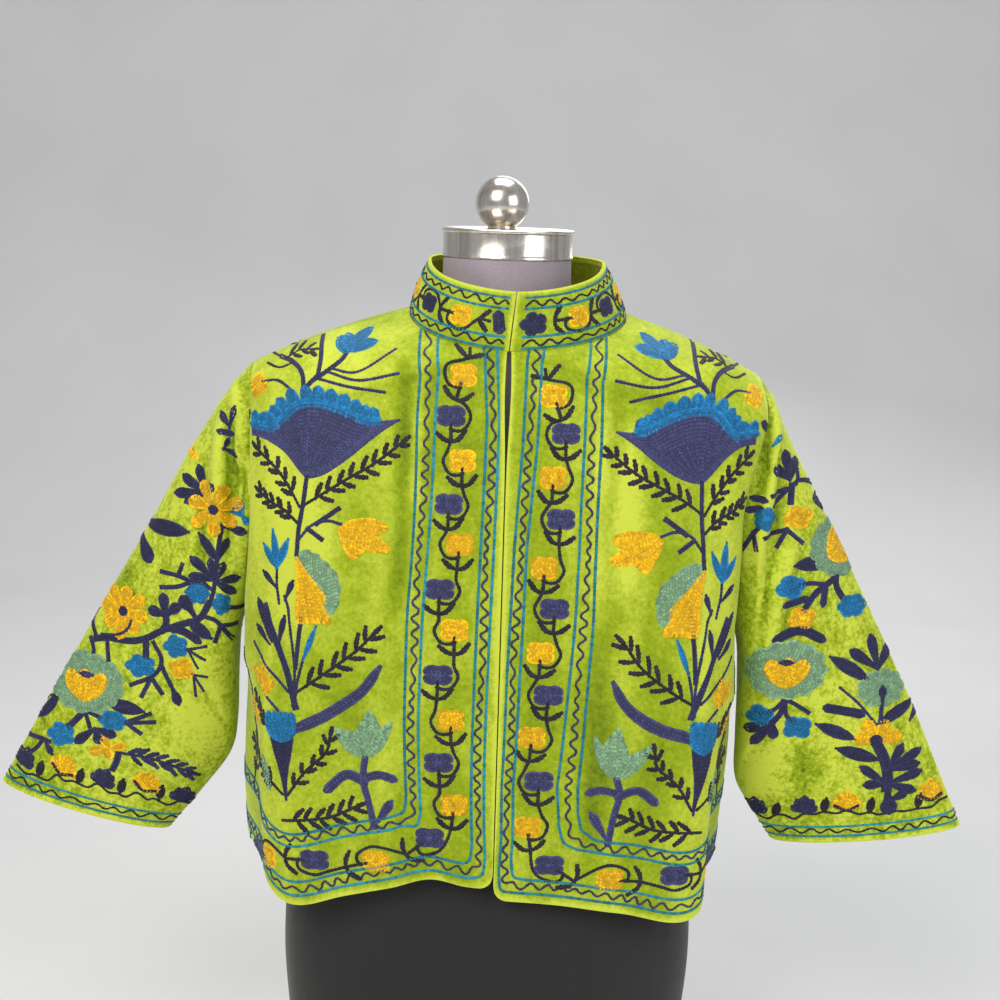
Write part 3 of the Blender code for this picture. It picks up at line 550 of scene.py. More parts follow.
class Cloth:
    """One sewn sheet: its points and normals in space, and its own flat measures.

    across and along are each point's place on the flat cloth, so that embroidery is drawn
    flat and then laid on the sheet. Its painted sheen and shade says how far its pile is painted
    pale or olive: pale on bulges, turned edges and listed patches, olive in hollows.
    """

    def __init__(self, points, normals, across, along, free=None, pile=0.0):
        self.points, self.normals, self.across, self.along = points, normals, across, along
        if free is not None:
            # Painted sheen on bulges and turned edges, painted shade in hollows, and the painted patches
            turned = np.exp(-((free / EDGE_WIDTH) ** 2))
            self.painted_sheen_and_mottling = BULGE_SHINE * crest_of(points, normals) + EDGE_SHINE * turned + pile
        rows, columns = across.shape
        first = (np.arange(rows - 1)[:, None] * columns + np.arange(columns - 1)).ravel()
        lower = np.stack((first, first + 1, first + columns + 1), axis=-1)
        upper = np.stack((first, first + columns + 1, first + columns), axis=-1)
        self.triangles = np.concatenate((lower, upper))
        self.flat = np.stack((across.ravel(), along.ravel(), np.zeros(rows * columns)), axis=-1)
        self.tree = BVHTree.FromPolygons(self.flat.tolist(), self.triangles.tolist())

    def lay(self, drawn, lift):
        """Places drawn on the flat cloth, laid on the sheet and lifted off it; also the normals
        there, and which of the places are on the cloth at all."""
        found = [self.tree.find_nearest((x, y, 0.0)) for x, y in drawn]
        corners = self.triangles[[hit[2] for hit in found]]
        spot = np.array([tuple(hit[0]) for hit in found])[:, :2]
        a, b, c = (self.flat[corners[:, i], :2] for i in range(3))
        ab, ac, ap = b - a, c - a, spot - a
        whole = ab[:, 0] * ac[:, 1] - ab[:, 1] * ac[:, 0]
        whole = np.where(np.abs(whole) < 1e-14, 1e-14, whole)
        v = (ap[:, 0] * ac[:, 1] - ap[:, 1] * ac[:, 0]) / whole
        w = (ab[:, 0] * ap[:, 1] - ab[:, 1] * ap[:, 0]) / whole
        shares = np.stack((1 - v - w, v, w), axis=-1)[:, :, None]
        normals = unit(np.sum(self.normals.reshape(-1, 3)[corners] * shares, axis=1))
        points = np.sum(self.points.reshape(-1, 3)[corners] * shares, axis=1)
        on_cloth = np.linalg.norm(spot - drawn, axis=1) < 0.0006
        return points + normals * lift[:, None], normals, on_cloth


def creased_panel(name, rows, columns, centre_x):
    """Half a front or back, fine, with its creases and edges: its points, its normals, how far
    each point lies from a free edge, and its height shares."""
    side, face = PANELS[name]
    foot = np.linspace(0.0, 0.012, 4)[:-1]
    body = np.linspace(0.012, CENTRE_SHARE, rows)
    heights = np.r_[foot, body, np.linspace(CENTRE_SHARE, 1.0, rows // 3)[1:]]
    points, normals = panel_grid(name, steps_with_close_ends(columns), heights)
    to_edge = np.linspace(0.0, SEAM / 2, 8)
    points[heights <= SIDE_SHARE, -8:, 1] += face * to_edge
    points[heights >= SIDE_SHARE, -8:, 0] -= side * to_edge
    points[-1, :, 1] += face * SEAM / 2
    points = ease_foot_of_armhole(points, heights)
    across = flat_measures(points, centre_x)
    points = points + normals * relief(in_metres(CREASES[name]), across, points[:, :, 2])[:, :, None]
    normals = normals_of(points, normals)
    normals[:, -3:] = normals[:, -4:-3]
    free = run_along(points, 0)
    if face < 0:
        on_opening = (heights <= CENTRE_SHARE)[:, None]
        free = np.where(on_opening, np.minimum(free, run_along(points, 1)), free)
    sewn = np.minimum(run_along(points, 1, True), run_along(points, 0, True))
    return finish_edges(points, normals, free, sewn), normals, free, heights


def panel_cloth(name, points, normals, free, line_x):
    """Half a front or back as a cloth, measured from its centre line and in height."""
    across = flat_measures(points, line_x)
    # Painted sheen and shade of the pile, in the patches listed above
    pile = relief(in_metres(PAINTED_PILE_SHEEN[name], -1), across, points[:, :, 2])
    return Cloth(points, normals, across, points[:, :, 2], free, pile)


def on_sleeve(marks, points):
    """Creases or pile marks of a sleeve at its points, each on its own face alone."""
    total = np.zeros(points.shape[:2])
    for face, *mark in marks:
        on_face = np.clip(face * (points[:, :, 1] - 0.001) / 0.012, 0.0, 1.0)
        total += relief([mark], np.abs(points[:, :, 0]), points[:, :, 2]) * on_face
    return total


def sleeve_cloths(name, side):
    """A sleeve as one cloth, and its front and back as cloths that are drawn on from outside."""
    turns = np.linspace(0.0, 1.0, 54)
    around = [(-1, turn) for turn in turns] + [(1, turn) for turn in turns[-2::-1]]
    lengths = np.r_[0.0, 0.003, 0.007, 0.012, np.linspace(0.018, 0.978, 104), np.linspace(0.9805, 1.0, 8)]
    points, normals = sleeve_grid(name, side, around, lengths)
    points[:, :, 0] += side * SEAM / 2
    points = points + normals * on_sleeve(in_metres(CREASES[name], 0), points)[:, :, None]
    normals = tube_normals(points, normals)
    free = run_along(points, 0, True)
    points = finish_edges(points, normals, free, run_along(points, 0))
    points[:, -1], normals[:, -1] = points[:, 0], normals[:, 0]
    top = len(turns) - 1
    run = run_along(points, 1)
    along = np.repeat(lengths[:, None] * SLEEVE_LENGTH, len(around), axis=1)
    # Painted sheen and shade of the pile, in the patches listed above
    pile = on_sleeve(in_metres(PAINTED_PILE_SHEEN[name], 0, -1), points)
    made = {name: Cloth(points, normals, run[:, top : top + 1] - run, along, free, pile)}
    for face, part in (("front", slice(0, top + 1)), ("back", slice(top, None))):
        seen = points[:, part]
        made[f"{name}_{face}"] = Cloth(seen, normals[:, part], np.abs(seen[:, :, 0]), seen[:, :, 2])
    return made


def collar_cloth():
    """The stand collar as a cloth, measured round from the wearer's right front and upwards."""
    neck = np.r_[0.0, 0.008, 0.016, 0.024, 0.034, 0.046, np.linspace(0.065, 1.0, 34)]
    turns = [(-1, -1, turn) for turn in neck] + [(-1, 1, turn) for turn in neck[-2::-1]]
    turns += [(1, 1, turn) for turn in neck[1:]] + [(1, -1, turn) for turn in neck[-2::-1]]
    shares = np.r_[0.0, 0.012, 0.03, 0.05, np.linspace(0.08, 0.85, 16), np.linspace(0.87, 1.0, 8)]
    points, normals = collar_grid(turns, shares)
    free = np.minimum(run_along(points, 0, True), run_along(points, 1))
    free = np.minimum(free, run_along(points, 1, True))
    points = finish_edges(points, normals, free, run_along(points, 0))
    run = run_along(points, 1)
    along = np.repeat(run_along(points, 0)[:, 40:41], len(turns), axis=1)
    return Cloth(points, normals, run / run[:, -1:] * COLLAR_RUN, along, free)


def make_cloths():
    """Every sheet of the jacket, by its node's name."""
    cloths, halves = {}, {}
    for name in ("front_right", "front_left"):
        made = creased_panel(name, 94, 78, NECKLINE[0])
        cloths[name] = panel_cloth(name, *made[:3], NECKLINE[0])
    for name in ("back_right", "back_left"):
        *halves[name], heights = creased_panel(name, 82, 64, BACK_MIDDLE_X)
    join_halves(halves, heights)
    for name, half in halves.items():
        line_x = np.where(heights <= CENTRE_SHARE, half[0][:, 0, 0], BACK_MIDDLE_X)[:, None]
        cloths[name] = panel_cloth(name, *half, line_x)
    for name, side in (("sleeve_right", -1), ("sleeve_left", 1)):
        cloths.update(sleeve_cloths(name, side))
    cloths["collar"] = collar_cloth()
    return cloths


# Colours, as red, green and blue from 0 to 1
OLIVE = (0.110, 0.175, 0.004)
LIME = (0.370, 0.490, 0.012)
PALE_LIME = (0.720, 0.820, 0.075)
CHARCOAL = (0.017, 0.017, 0.017)
# The cover's mauve above the waist, painted paler than its own tone as painted light on its lit top
MAUVE_WITH_PAINTED_LIGHT = (0.560, 0.470, 0.540)
# Each thread's colour, and the painted shade of the laid threads under a fill of it: how much
# darker they are, as shadow in the grooves between its rows
THREADS = {
    "navy": ((0.030, 0.031, 0.105), 0.50),
    "violet": ((0.062, 0.066, 0.190), 0.50),
    "blue": ((0.008, 0.215, 0.490), 0.62),
    "teal": ((0.022, 0.270, 0.330), 1.0),
    "ink": ((0.046, 0.050, 0.100), 1.0),
    "black": ((0.022, 0.018, 0.030), 0.50),
    "yellow": ((1.000, 0.570, 0.002), 0.74),
    "sage": ((0.270, 0.480, 0.265), 0.66),
}


class Nodes:
    """A node tree, built a node at a time."""

    def __init__(self, tree):
        self.tree = tree

    def put(self, socket, value):
        """Links another node's output to a socket, or gives the socket a plain value."""
        if isinstance(value, bpy.types.NodeSocket):
            self.tree.links.new(value, socket)
        else:
            socket.default_value = value

    def add(self, kind, values=(), give=0, **settings):
        """A node with its settings and inputs; the output that give names or counts."""
        node = self.tree.nodes.new(kind)
        for key, value in settings.items():
            setattr(node, key, value)
        for key, value in dict(values).items():
            self.put(node.inputs[key], value)
        return node.outputs[give]

    def math(self, operation, first, second=0.0):
        """A sum, product or the like of two values."""
        return self.add("ShaderNodeMath", {0: first, 1: second}, operation=operation)


class Finish(Nodes):
    """A material, with what its nodes have in common."""

    def __init__(self, name):
        self.material = bpy.data.materials.new(name)
        self.material.use_nodes = True
        super().__init__(self.material.node_tree)
        self.place = self.add("ShaderNodeTexCoord", give="Object")

    def set(self, **values):
        """Sets the shader's inputs, and gives the material."""
        for key, value in values.items():
            self.put(self.tree.nodes["Principled BSDF"].inputs[key.replace("_", " ")], value)
        return self.material

    def moved(self, place, **values):
        """A place on the piece, moved or stretched."""
        return self.add("ShaderNodeMapping", {"Vector": place, **values})

    def noise(self, place, scale, detail=2.0, distortion=0.0, roughness=0.5):
        """Soft irregular marks."""
        values = dict(Vector=place, Scale=scale, Detail=detail, Roughness=roughness, Distortion=distortion)
        return self.add("ShaderNodeTexNoise", values, "Fac")

    def ramp(self, factor, *stops):
        """Colours, or greys, at positions along a value."""
        socket = self.add("ShaderNodeValToRGB", {"Fac": factor}, "Color")
        elements = socket.node.color_ramp.elements
        while len(elements) < len(stops):
            elements.new(0.5)
        for element, (position, colour) in zip(elements, stops):
            element.position = position
            element.color = (*(colour if isinstance(colour, tuple) else (colour,) * 3), 1.0)
        return socket

    def mix(self, factor, first, second, blend_type="MIX"):
        """Two colours in one."""
        values = {"Factor": factor, 6: first, 7: second}
        return self.add("ShaderNodeMix", values, 2, data_type="RGBA", blend_type=blend_type)

    def darkened(self, colour, share, marks, low, high):
        """A colour that goes darker by that share where the marks are low. low and high each
        hold a position among the marks and a grey."""
        return self.mix(share, colour, self.ramp(marks, low, high), "MULTIPLY")

    def bump(self, height, distance, strength=1.0, **under):
        """Fine relief, over other relief where Normal says so."""
        values = {"Height": height, "Distance": distance, "Strength": strength, **under}
        return self.add("ShaderNodeBump", values, "Normal")


def velvet_material(name, crush, pale=0.0, seed=0.0):
    """Lime velvet whose pile lies this way and that, so that it is olive in one place, pale in
    another: at random in soft patches and crushed marks, and as the painted sheen and shade
    of its own attribute say."""
    nodes = Finish(name)
    shifted = nodes.moved(nodes.place, Location=(seed, 0.3 * seed, -seed))
    stretched = nodes.moved(shifted, Scale=(1.3, 1.0, 0.60))
    crushed = nodes.noise(shifted, 80.0, 4.0, 0.5, 0.66)
    # The cloth's painted sheen and shade, kept on its points
    own = nodes.add("ShaderNodeAttribute", give="Fac", attribute_name="painted_sheen_and_mottling")
    painted_sheen_and_mottling = nodes.math("ADD", own, 0.5 + pale)
    for marks, strength in (
        (nodes.noise(stretched, 7.0, 2.0, 0.3), 0.45),
        (nodes.noise(stretched, 24.0, 3.0, 0.6, 0.6), 0.18 + 0.12 * crush),
        (crushed, 0.12 + 0.34 * crush),
        (nodes.noise(shifted, 260.0, 3.0, 0.3, 0.62), 0.18 + 0.40 * crush),
    ):
        off_middle = nodes.math("MULTIPLY", nodes.math("SUBTRACT", marks, 0.5), strength)
        painted_sheen_and_mottling = nodes.math("ADD", off_middle, painted_sheen_and_mottling)
    colour = nodes.ramp(painted_sheen_and_mottling, (0.30, OLIVE), (0.49, LIME), (0.65, PALE_LIME))
    pile = nodes.noise(shifted, 1500.0, 2.0, 0.0, 0.6)
    colour = nodes.darkened(colour, 0.35, pile, (0.3, 0.45), (0.7, 1.0))
    nodes.set(Base_Color=colour, Roughness=0.82, Specular_IOR_Level=0.2)
    nodes.set(Normal=nodes.bump(pile, 0.0004, 0.5, Normal=nodes.bump(crushed, 0.0012, 0.35)))
    return nodes.set(Sheen_Weight=0.75, Sheen_Roughness=0.30, Sheen_Tint=(0.85, 0.95, 0.35, 1.0))


def thread_material():
    """Twisted cotton thread, its colour kept on the stitches themselves, with their painted glints and the
    painted shade of the fills' ground.
    """
    nodes = Finish("chain stitch cotton")
    own = nodes.add("ShaderNodeAttribute", give="Color", attribute_name="thread")
    worn = nodes.noise(nodes.place, 160.0, 3.0, 0.2, 0.6)
    colour = nodes.darkened(own, 0.45, worn, (0.30, 0.62), (0.72, 1.0))
    values = {"Vector": nodes.place, "Scale": 420.0, "Distortion": 5.0, "Detail": 2.0}
    twist = nodes.add("ShaderNodeTexWave", values, "Fac", bands_direction="DIAGONAL")
    nodes.set(Base_Color=colour, Normal=nodes.bump(twist, 0.0002, 0.5), Roughness=0.62)
    return nodes.set(Sheen_Weight=0.15, Sheen_Roughness=0.4, Specular_IOR_Level=0.35)


def jersey_material():
    """The form's knitted cover: charcoal from the waist down, and above it a mauve that is partly its own
    tone and partly painted light on its lit top.
    """
    nodes = Finish("form jersey")
    height = nodes.add("ShaderNodeSeparateXYZ", {"Vector": nodes.place}, "Z")
    # Above the waist: the mauve, partly the cover's own tone, partly painted light
    upper = nodes.math("GREATER_THAN", height, 0.455)
    colour = nodes.mix(upper, (*CHARCOAL, 1.0), (*MAUVE_WITH_PAINTED_LIGHT, 1.0))
    fleck = nodes.noise(nodes.place, 900.0, 3.0, 0.0, 0.7)
    colour = nodes.darkened(colour, 0.55, fleck, (0.25, 0.35), (0.75, 1.0))
    broad = nodes.noise(nodes.place, 14.0, 2.0, 0.5)
    colour = nodes.darkened(colour, 0.35, broad, (0.35, 0.6), (0.7, 1.0))
    values = {"Vector": nodes.place, "Scale": 320.0, "Distortion": 1.5, "Detail": 1.0}
    ribs = nodes.add("ShaderNodeTexWave", values, "Fac")
    nodes.set(Normal=nodes.bump(fleck, 0.0003, 0.5, Normal=nodes.bump(ribs, 0.0003, 0.5)))
    return nodes.set(Base_Color=colour, Roughness=0.85, Sheen_Weight=0.25, Sheen_Roughness=0.5)


def chrome_material():
    """Polished chrome with faint marks of handling in its roughness, and vertical streaks of painted
    reflection in its colour.
    """
    nodes = Finish("cap and ball chrome")
    smear = nodes.noise(nodes.place, 45.0, 4.0, 1.0, 0.6)
    # Vertical streaks of painted reflection: paler and darker bands in the chrome's colour
    painted_reflection_streaks = nodes.noise(nodes.moved(nodes.place, Scale=(1.0, 1.0, 0.06)), 130.0, 3.0, 0.0, 0.6)
    colour = nodes.ramp(painted_reflection_streaks, (0.30, (0.60, 0.54, 0.46)), (0.62, (0.90, 0.85, 0.77)))
    nodes.set(Roughness=nodes.ramp(smear, (0.35, 0.17), (0.75, 0.32)))
    return nodes.set(Base_Color=colour, Metallic=1.0, Normal=nodes.bump(painted_reflection_streaks, 0.0002, 0.25))


def floor_material():
    """Plain pale studio paper."""
    nodes = Finish("pale studio floor")
    tone = nodes.noise(nodes.place, 3.0)
    return nodes.set(Base_Color=nodes.ramp(tone, (0.3, 0.72), (0.7, 0.76)), Roughness=0.9)


def link(name, data):
    """An object of that data, in the scene."""
    made = bpy.data.objects.new(name, data)
    bpy.context.scene.collection.objects.link(made)
    return made


def new_piece(name, mesh, surface):
    """An object of that mesh and material, at the origin."""
    mesh.materials.clear()
    mesh.materials.append(surface)
    return link(name, mesh)


def from_bmesh(name, body, surface, sharp=None):
    """A smooth piece, its faces outwards and with the edges past that angle, in degrees, sharp."""
    mesh = bpy.data.meshes.new(name)
    if sharp:
        bmesh.ops.recalc_face_normals(body, faces=body.faces)
    body.to_mesh(mesh)
    body.free()
    mesh.shade_smooth()
    if sharp:
        mesh.set_sharp_from_angle(angle=math.radians(sharp))
    return new_piece(name, mesh, surface)


def cloth_wall(name, cloths, surface):
    """A cloth wall: the sheets outside, the same sheets CLOTH further in, and turned edges."""
    shell = bmesh.new()
    # Each point keeps the painted sheen and shade of its pile
    painted_sheen_and_mottling = shell.verts.layers.float.new("painted_sheen_and_mottling")
    found = {}

    def corner(cloth, place):
        point, normal = cloth.points[place], cloth.normals[place]
        key = tuple(np.round(point, 6))
        if key not in found:
            found[key] = (shell.verts.new(point), shell.verts.new(point - normal * CLOTH))
            for made in found[key]:
                made[painted_sheen_and_mottling] = cloth.painted_sheen_and_mottling[place]
        return found[key]

    for cloth in cloths:
        rows, columns = cloth.across.shape
        net = [[corner(cloth, (row, column)) for column in range(columns)] for row in range(rows)]
        for low, high in zip(net, net[1:]):
            for a, b, c, d in zip(low, low[1:], high[1:], high):
                outside, inside = zip(a, b, c, d)
                shell.faces.new(outside)
                shell.faces.new(inside[::-1])
    inside = {outer: inner for outer, inner in found.values()}
    for edge in [edge for edge in shell.edges if edge.is_boundary and edge.verts[0] in inside]:
        first, second = edge.verts
        shell.faces.new((first, second, inside[second], inside[first]))
    return from_bmesh(name, shell, surface, 60)


def ringed_piece(name, rings, surface, sharp):
    """A closed piece through rings of places, capped at both ends."""
    body = bmesh.new()
    rings = [[body.verts.new(place) for place in ring] for ring in rings]
    for low, high in zip(rings, rings[1:]):
        for a, b, c, d in zip(low, low[1:] + low[:1], high[1:] + high[:1], high):
            body.faces.new((a, b, c, d))
    body.faces.new(rings[0][::-1])
    body.faces.new(rings[-1])
    return from_bmesh(name, body, surface, sharp)


def form_body(surface):
    """The covered torso, smooth, with the grooves of its long seams below the waist."""
    columns, trim = 128, 0.0006
    waist, hip, groove_width, groove_depth = 0.44, 0.188, 0.0016, 0.012
    heights = np.r_[0.0, 0.0015, np.linspace(0.004, FORM[-1, 0], 130)]
    angle = np.arange(columns) * 2 * math.pi / columns
    cos, sin = np.cos(angle), np.sin(angle)
    rings = []
    for z, (half_width, front, back, squareness) in zip(heights, curve_through(FORM, heights)):
        power = 2 / squareness
        x = (half_width - trim) * np.sign(cos) * np.abs(cos) ** power
        y = (front + back) / 2 + ((back - front) / 2 - trim) * np.sign(sin) * np.abs(sin) ** power
        if z < waist:
            share = np.clip(half_width / hip, 0.5, 1.1)
            groove = sum(np.exp(-(((x - line * share) / groove_width) ** 2)) for line in FORM_SEAMS)
            y = y * (1 - groove_depth * groove)
        if z < 0.003:
            x, y = x * (1 - 0.010 * (1 - z / 0.003)), y * (1 - 0.015 * (1 - z / 0.003))
        rings.append([(*place, z) for place in zip(x, y)])
    return ringed_piece("form_cover", rings, surface, 50)


def turned_piece(name, profile, middle_x, surface):
    """A turned piece: its profile from the top on the axis down its outer side, spun."""
    turns = [2 * math.pi * step / 96 for step in range(96)]
    rings = [
        [(middle_x + radius * math.cos(turn), radius * math.sin(turn), z) for turn in turns]
        for radius, z in profile[1:-1]
    ]
    return ringed_piece(name, rings, surface, 35)


def ball_profile():
    """The ball and its short foot, from the top down."""
    last = math.asin(BALL_FOOT_RADIUS / BALL_RADIUS)
    angles = [(math.pi - last) * step / 39 for step in range(40)]
    ball = [(BALL_RADIUS * math.sin(each), BALL_MIDDLE_Z + BALL_RADIUS * math.cos(each)) for each in angles]
    return ball + [(BALL_FOOT_RADIUS, BALL_FOOT_BOTTOM), (0.0, BALL_FOOT_BOTTOM)]


def camera():
    """The camera at the photograph's place, height, tilt and slight roll."""
    aim = Vector((0.0, 0.0, 0.560))
    distance, pitch, roll = 1.9, math.radians(8.8), math.radians(1.75)
    ahead = Vector((0.0, math.cos(pitch), -math.sin(pitch)))
    up = Vector((0.0, math.sin(pitch), math.cos(pitch)))
    across = Vector((1.0, 0.0, 0.0))
    right = math.cos(roll) * across + math.sin(roll) * up
    above = math.cos(roll) * up - math.sin(roll) * across
    data = bpy.data.cameras.new("camera")
    data.sensor_width = 36.0
    data.sensor_fit = "HORIZONTAL"
    data.lens = 75.56
    made = link("camera", data)
    turn = Matrix((right, above, -ahead)).transposed().to_4x4()
    made.matrix_world = Matrix.Translation(aim - ahead * distance) @ turn
    bpy.context.scene.camera = made


def area_light(name, place, size, power, colour=(1.0, 1.0, 1.0)):
    """A soft square light that shines at the middle of the jacket."""
    data = bpy.data.lights.new(name, "AREA")
    data.shape = "SQUARE"
    data.size = size
    data.energy = power
    data.color = colour
    made = link(name, data)
    made.location = place
    made.rotation_euler = (Vector((0.0, 0.0, 0.5)) - Vector(place)).to_track_quat("-Z", "Y").to_euler()


def studio():
    """A pale floor that sweeps up behind, and soft light."""
    sweep = bmesh.new()
    angles = [math.pi / 2 * step / 12 for step in range(13)]
    curve = [(2.2 + 1.2 * math.sin(angle), 1.2 - 1.2 * math.cos(angle)) for angle in angles]
    outline = [(-4.0, 0.0), *curve, (3.4, 5.0)]
    left, right = ([sweep.verts.new((x, y, z - 0.0005)) for y, z in outline] for x in (-6.0, 6.0))
    for corners in zip(left, right, right[1:], left[1:]):
        sweep.faces.new(corners)
    from_bmesh("studio_floor", sweep, floor_material())
    area_light("key", (-1.3, -2.4, 2.5), 1.8, 62.0, (1.0, 0.97, 0.92))
    area_light("fill", (2.2, -1.9, 1.4), 1.8, 26.0, (0.95, 0.97, 1.0))
    area_light("top", (0.1, 0.6, 2.9), 1.6, 34.0)
    area_light("back", (0.6, 2.6, 1.6), 1.6, 14.0)
    world = bpy.data.worlds.new("studio")
    world.use_nodes = True
    sky = world.node_tree.nodes["Background"].inputs
    sky["Color"].default_value = (0.80, 0.82, 0.85, 1.0)
    sky["Strength"].default_value = 0.38
    scene = bpy.context.scene
    scene.world = world
    scene.view_settings.view_transform = "Standard"
    scene.view_settings.look = "None"


def dress(piece, slot, *nodes):
    """Hangs the piece on the root body, and hides the nodes that it stands for. slot, its finish, is not
    used.
    """
    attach(piece, "root")
    if nodes:
        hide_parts(*nodes)


# Flat cut of each sheet: width and length of the cloth it is cut from, and its area
CUTS = {
    "front_right": (0.345, 0.525, 0.143),
    "front_left": (0.335, 0.525, 0.140),
    "sleeve_right": (0.470, 0.440, 0.125),
    "sleeve_left": (0.470, 0.440, 0.125),
    "collar": (0.520, 0.052, 0.026),
    "back": (0.600, 0.490, 0.253),
}


def jacket(cloths):
    """The six sewn pieces of velvet."""
    velvet = velvet_material("lime velvet of the body", 0.15, 0.03)
    crushed = velvet_material("lime velvet of the sleeves", 1.0, 0.055, 1.7)
    for name, (width, length, area) in CUTS.items():
        sheets = ("back_right", "back_left") if name == "back" else (name,)
        surface = crushed if "sleeve" in name else velvet
        piece = cloth_wall(name + "_velvet", [cloths[each] for each in sheets], surface)
        dress(piece, "velvet", name)


# Embroidery, drawn in millimetres on each flat cloth. Chain stitch: how far apart its rows lie,
# how wide one is, how long a stitch is, and how high the thread stands
ROW_GAP = 2.25
ROW_WIDTH = 2.5
STITCH = 3.3
THREAD_HEIGHT = 0.85
# How much higher each further layer of stitching lies
OVER = 0.35
# How wide the single row of a leaflet is, from its stem to its tip
LEAFLET = (1.1, 1.8, 2.1, 2.1, 1.6)

# How wide a filled shape is along its length: shares of the length and of the full width
SHAPES = {
    "lens": ((0.0, 0.12, 0.3, 0.55, 0.8, 0.93, 1.0), (0.15, 0.55, 0.9, 1.0, 0.75, 0.42, 0.1)),
    "petal": ((0.0, 0.3, 0.6, 0.82, 0.94, 1.0), (0.35, 0.62, 0.95, 1.0, 0.72, 0.25)),
    "bar": ((0.0, 0.06, 0.5, 0.94, 1.0), (0.6, 1.0, 1.0, 1.0, 0.6)),
    "drop": ((0.0, 0.5, 0.75, 0.92, 1.0), (0.2, 0.5, 1.0, 0.85, 0.3)),
    "sickle": ((0.0, 0.1, 0.5, 0.9, 1.0), (0.8, 1.0, 1.0, 0.85, 0.4)),
    "cone": ((0.0, 0.06, 0.25, 0.5, 0.75, 1.0), (0.8, 1.0, 0.82, 0.48, 0.24, 0.12)),
    "oval": ((0.0, 0.12, 0.35, 0.65, 0.88, 1.0), (0.35, 0.75, 1.0, 1.0, 0.75, 0.35)),
    "round": ((0.0, 0.5, 0.78, 0.93, 1.0), (1.0, 1.0, 0.94, 0.70, 0.35)),
    "scalloped": (
        (0.0, 0.08, 0.14, 0.22, 0.30, 0.38, 0.46, 0.54, 0.62, 0.70, 0.78, 0.86, 0.94, 1.0),
        (0.40, 0.90, 0.78, 1.08, 0.88, 1.10, 0.86, 1.00, 0.76, 0.84, 0.62, 0.72, 0.54, 0.45),
    ),
}

# The wavy edge of a dahlia's heart, as shares of its half width and half height
DAHLIA_HEART = (
    (-1.02, -0.06), (-1.04, 0.16), (-0.84, 0.32), (-0.56, 0.26), (-0.38, 0.10), (-0.26, 0.28),
    (0.02, 0.38), (0.28, 0.28), (0.38, 0.10), (0.54, 0.26), (0.82, 0.30), (1.04, 0.14), (1.02, -0.06),
)


def evenly(line, step):
    """Evenly spaced places on a line, about a step apart."""
    line = np.asarray(line, float)
    run = np.concatenate(([0.0], np.cumsum(np.linalg.norm(np.diff(line, axis=0), axis=1))))
    at = np.linspace(0, run[-1], max(2, int(round(run[-1] / step)) + 1))
    return np.stack((np.interp(at, run, line[:, 0]), np.interp(at, run, line[:, 1])), axis=-1)


def smooth_line(points, step=1.5):
    """Evenly spaced places on a smooth line through the points."""
    p = np.asarray(points, float)
    p = np.vstack((2 * p[0] - p[1], p, 2 * p[-1] - p[-2]))
    t = np.linspace(0, 1, 10, endpoint=False)[:, None]
    pieces = [
        0.5 * (2 * b + (c - a) * t + (2 * a - 5 * b + 4 * c - e) * t**2 + (3 * b - a - 3 * c + e) * t**3)
        for a, b, c, e in zip(p, p[1:], p[2:], p[3:])
    ]
    return evenly(np.vstack(pieces + [p[-2:-1]]), step)


def sideways(line):
    """The unit direction to the left of a line, at each of its places."""
    along = np.gradient(line, axis=0)
    along /= np.maximum(np.linalg.norm(along, axis=1), 1e-9)[:, None]
    return np.stack((-along[:, 1], along[:, 0]), axis=-1)


def toward(angle, distance):
    """A step of that distance, at that angle from the cloth's across direction, in degrees."""
    turn = math.radians(angle)
    return np.array((math.cos(turn), math.sin(turn))) * distance


def some_of(line, least):
    """The numbers of about every third place on a line, both ends among them."""
    return np.unique(np.linspace(0, len(line) - 1, max(least, len(line) // 3)).astype(int))


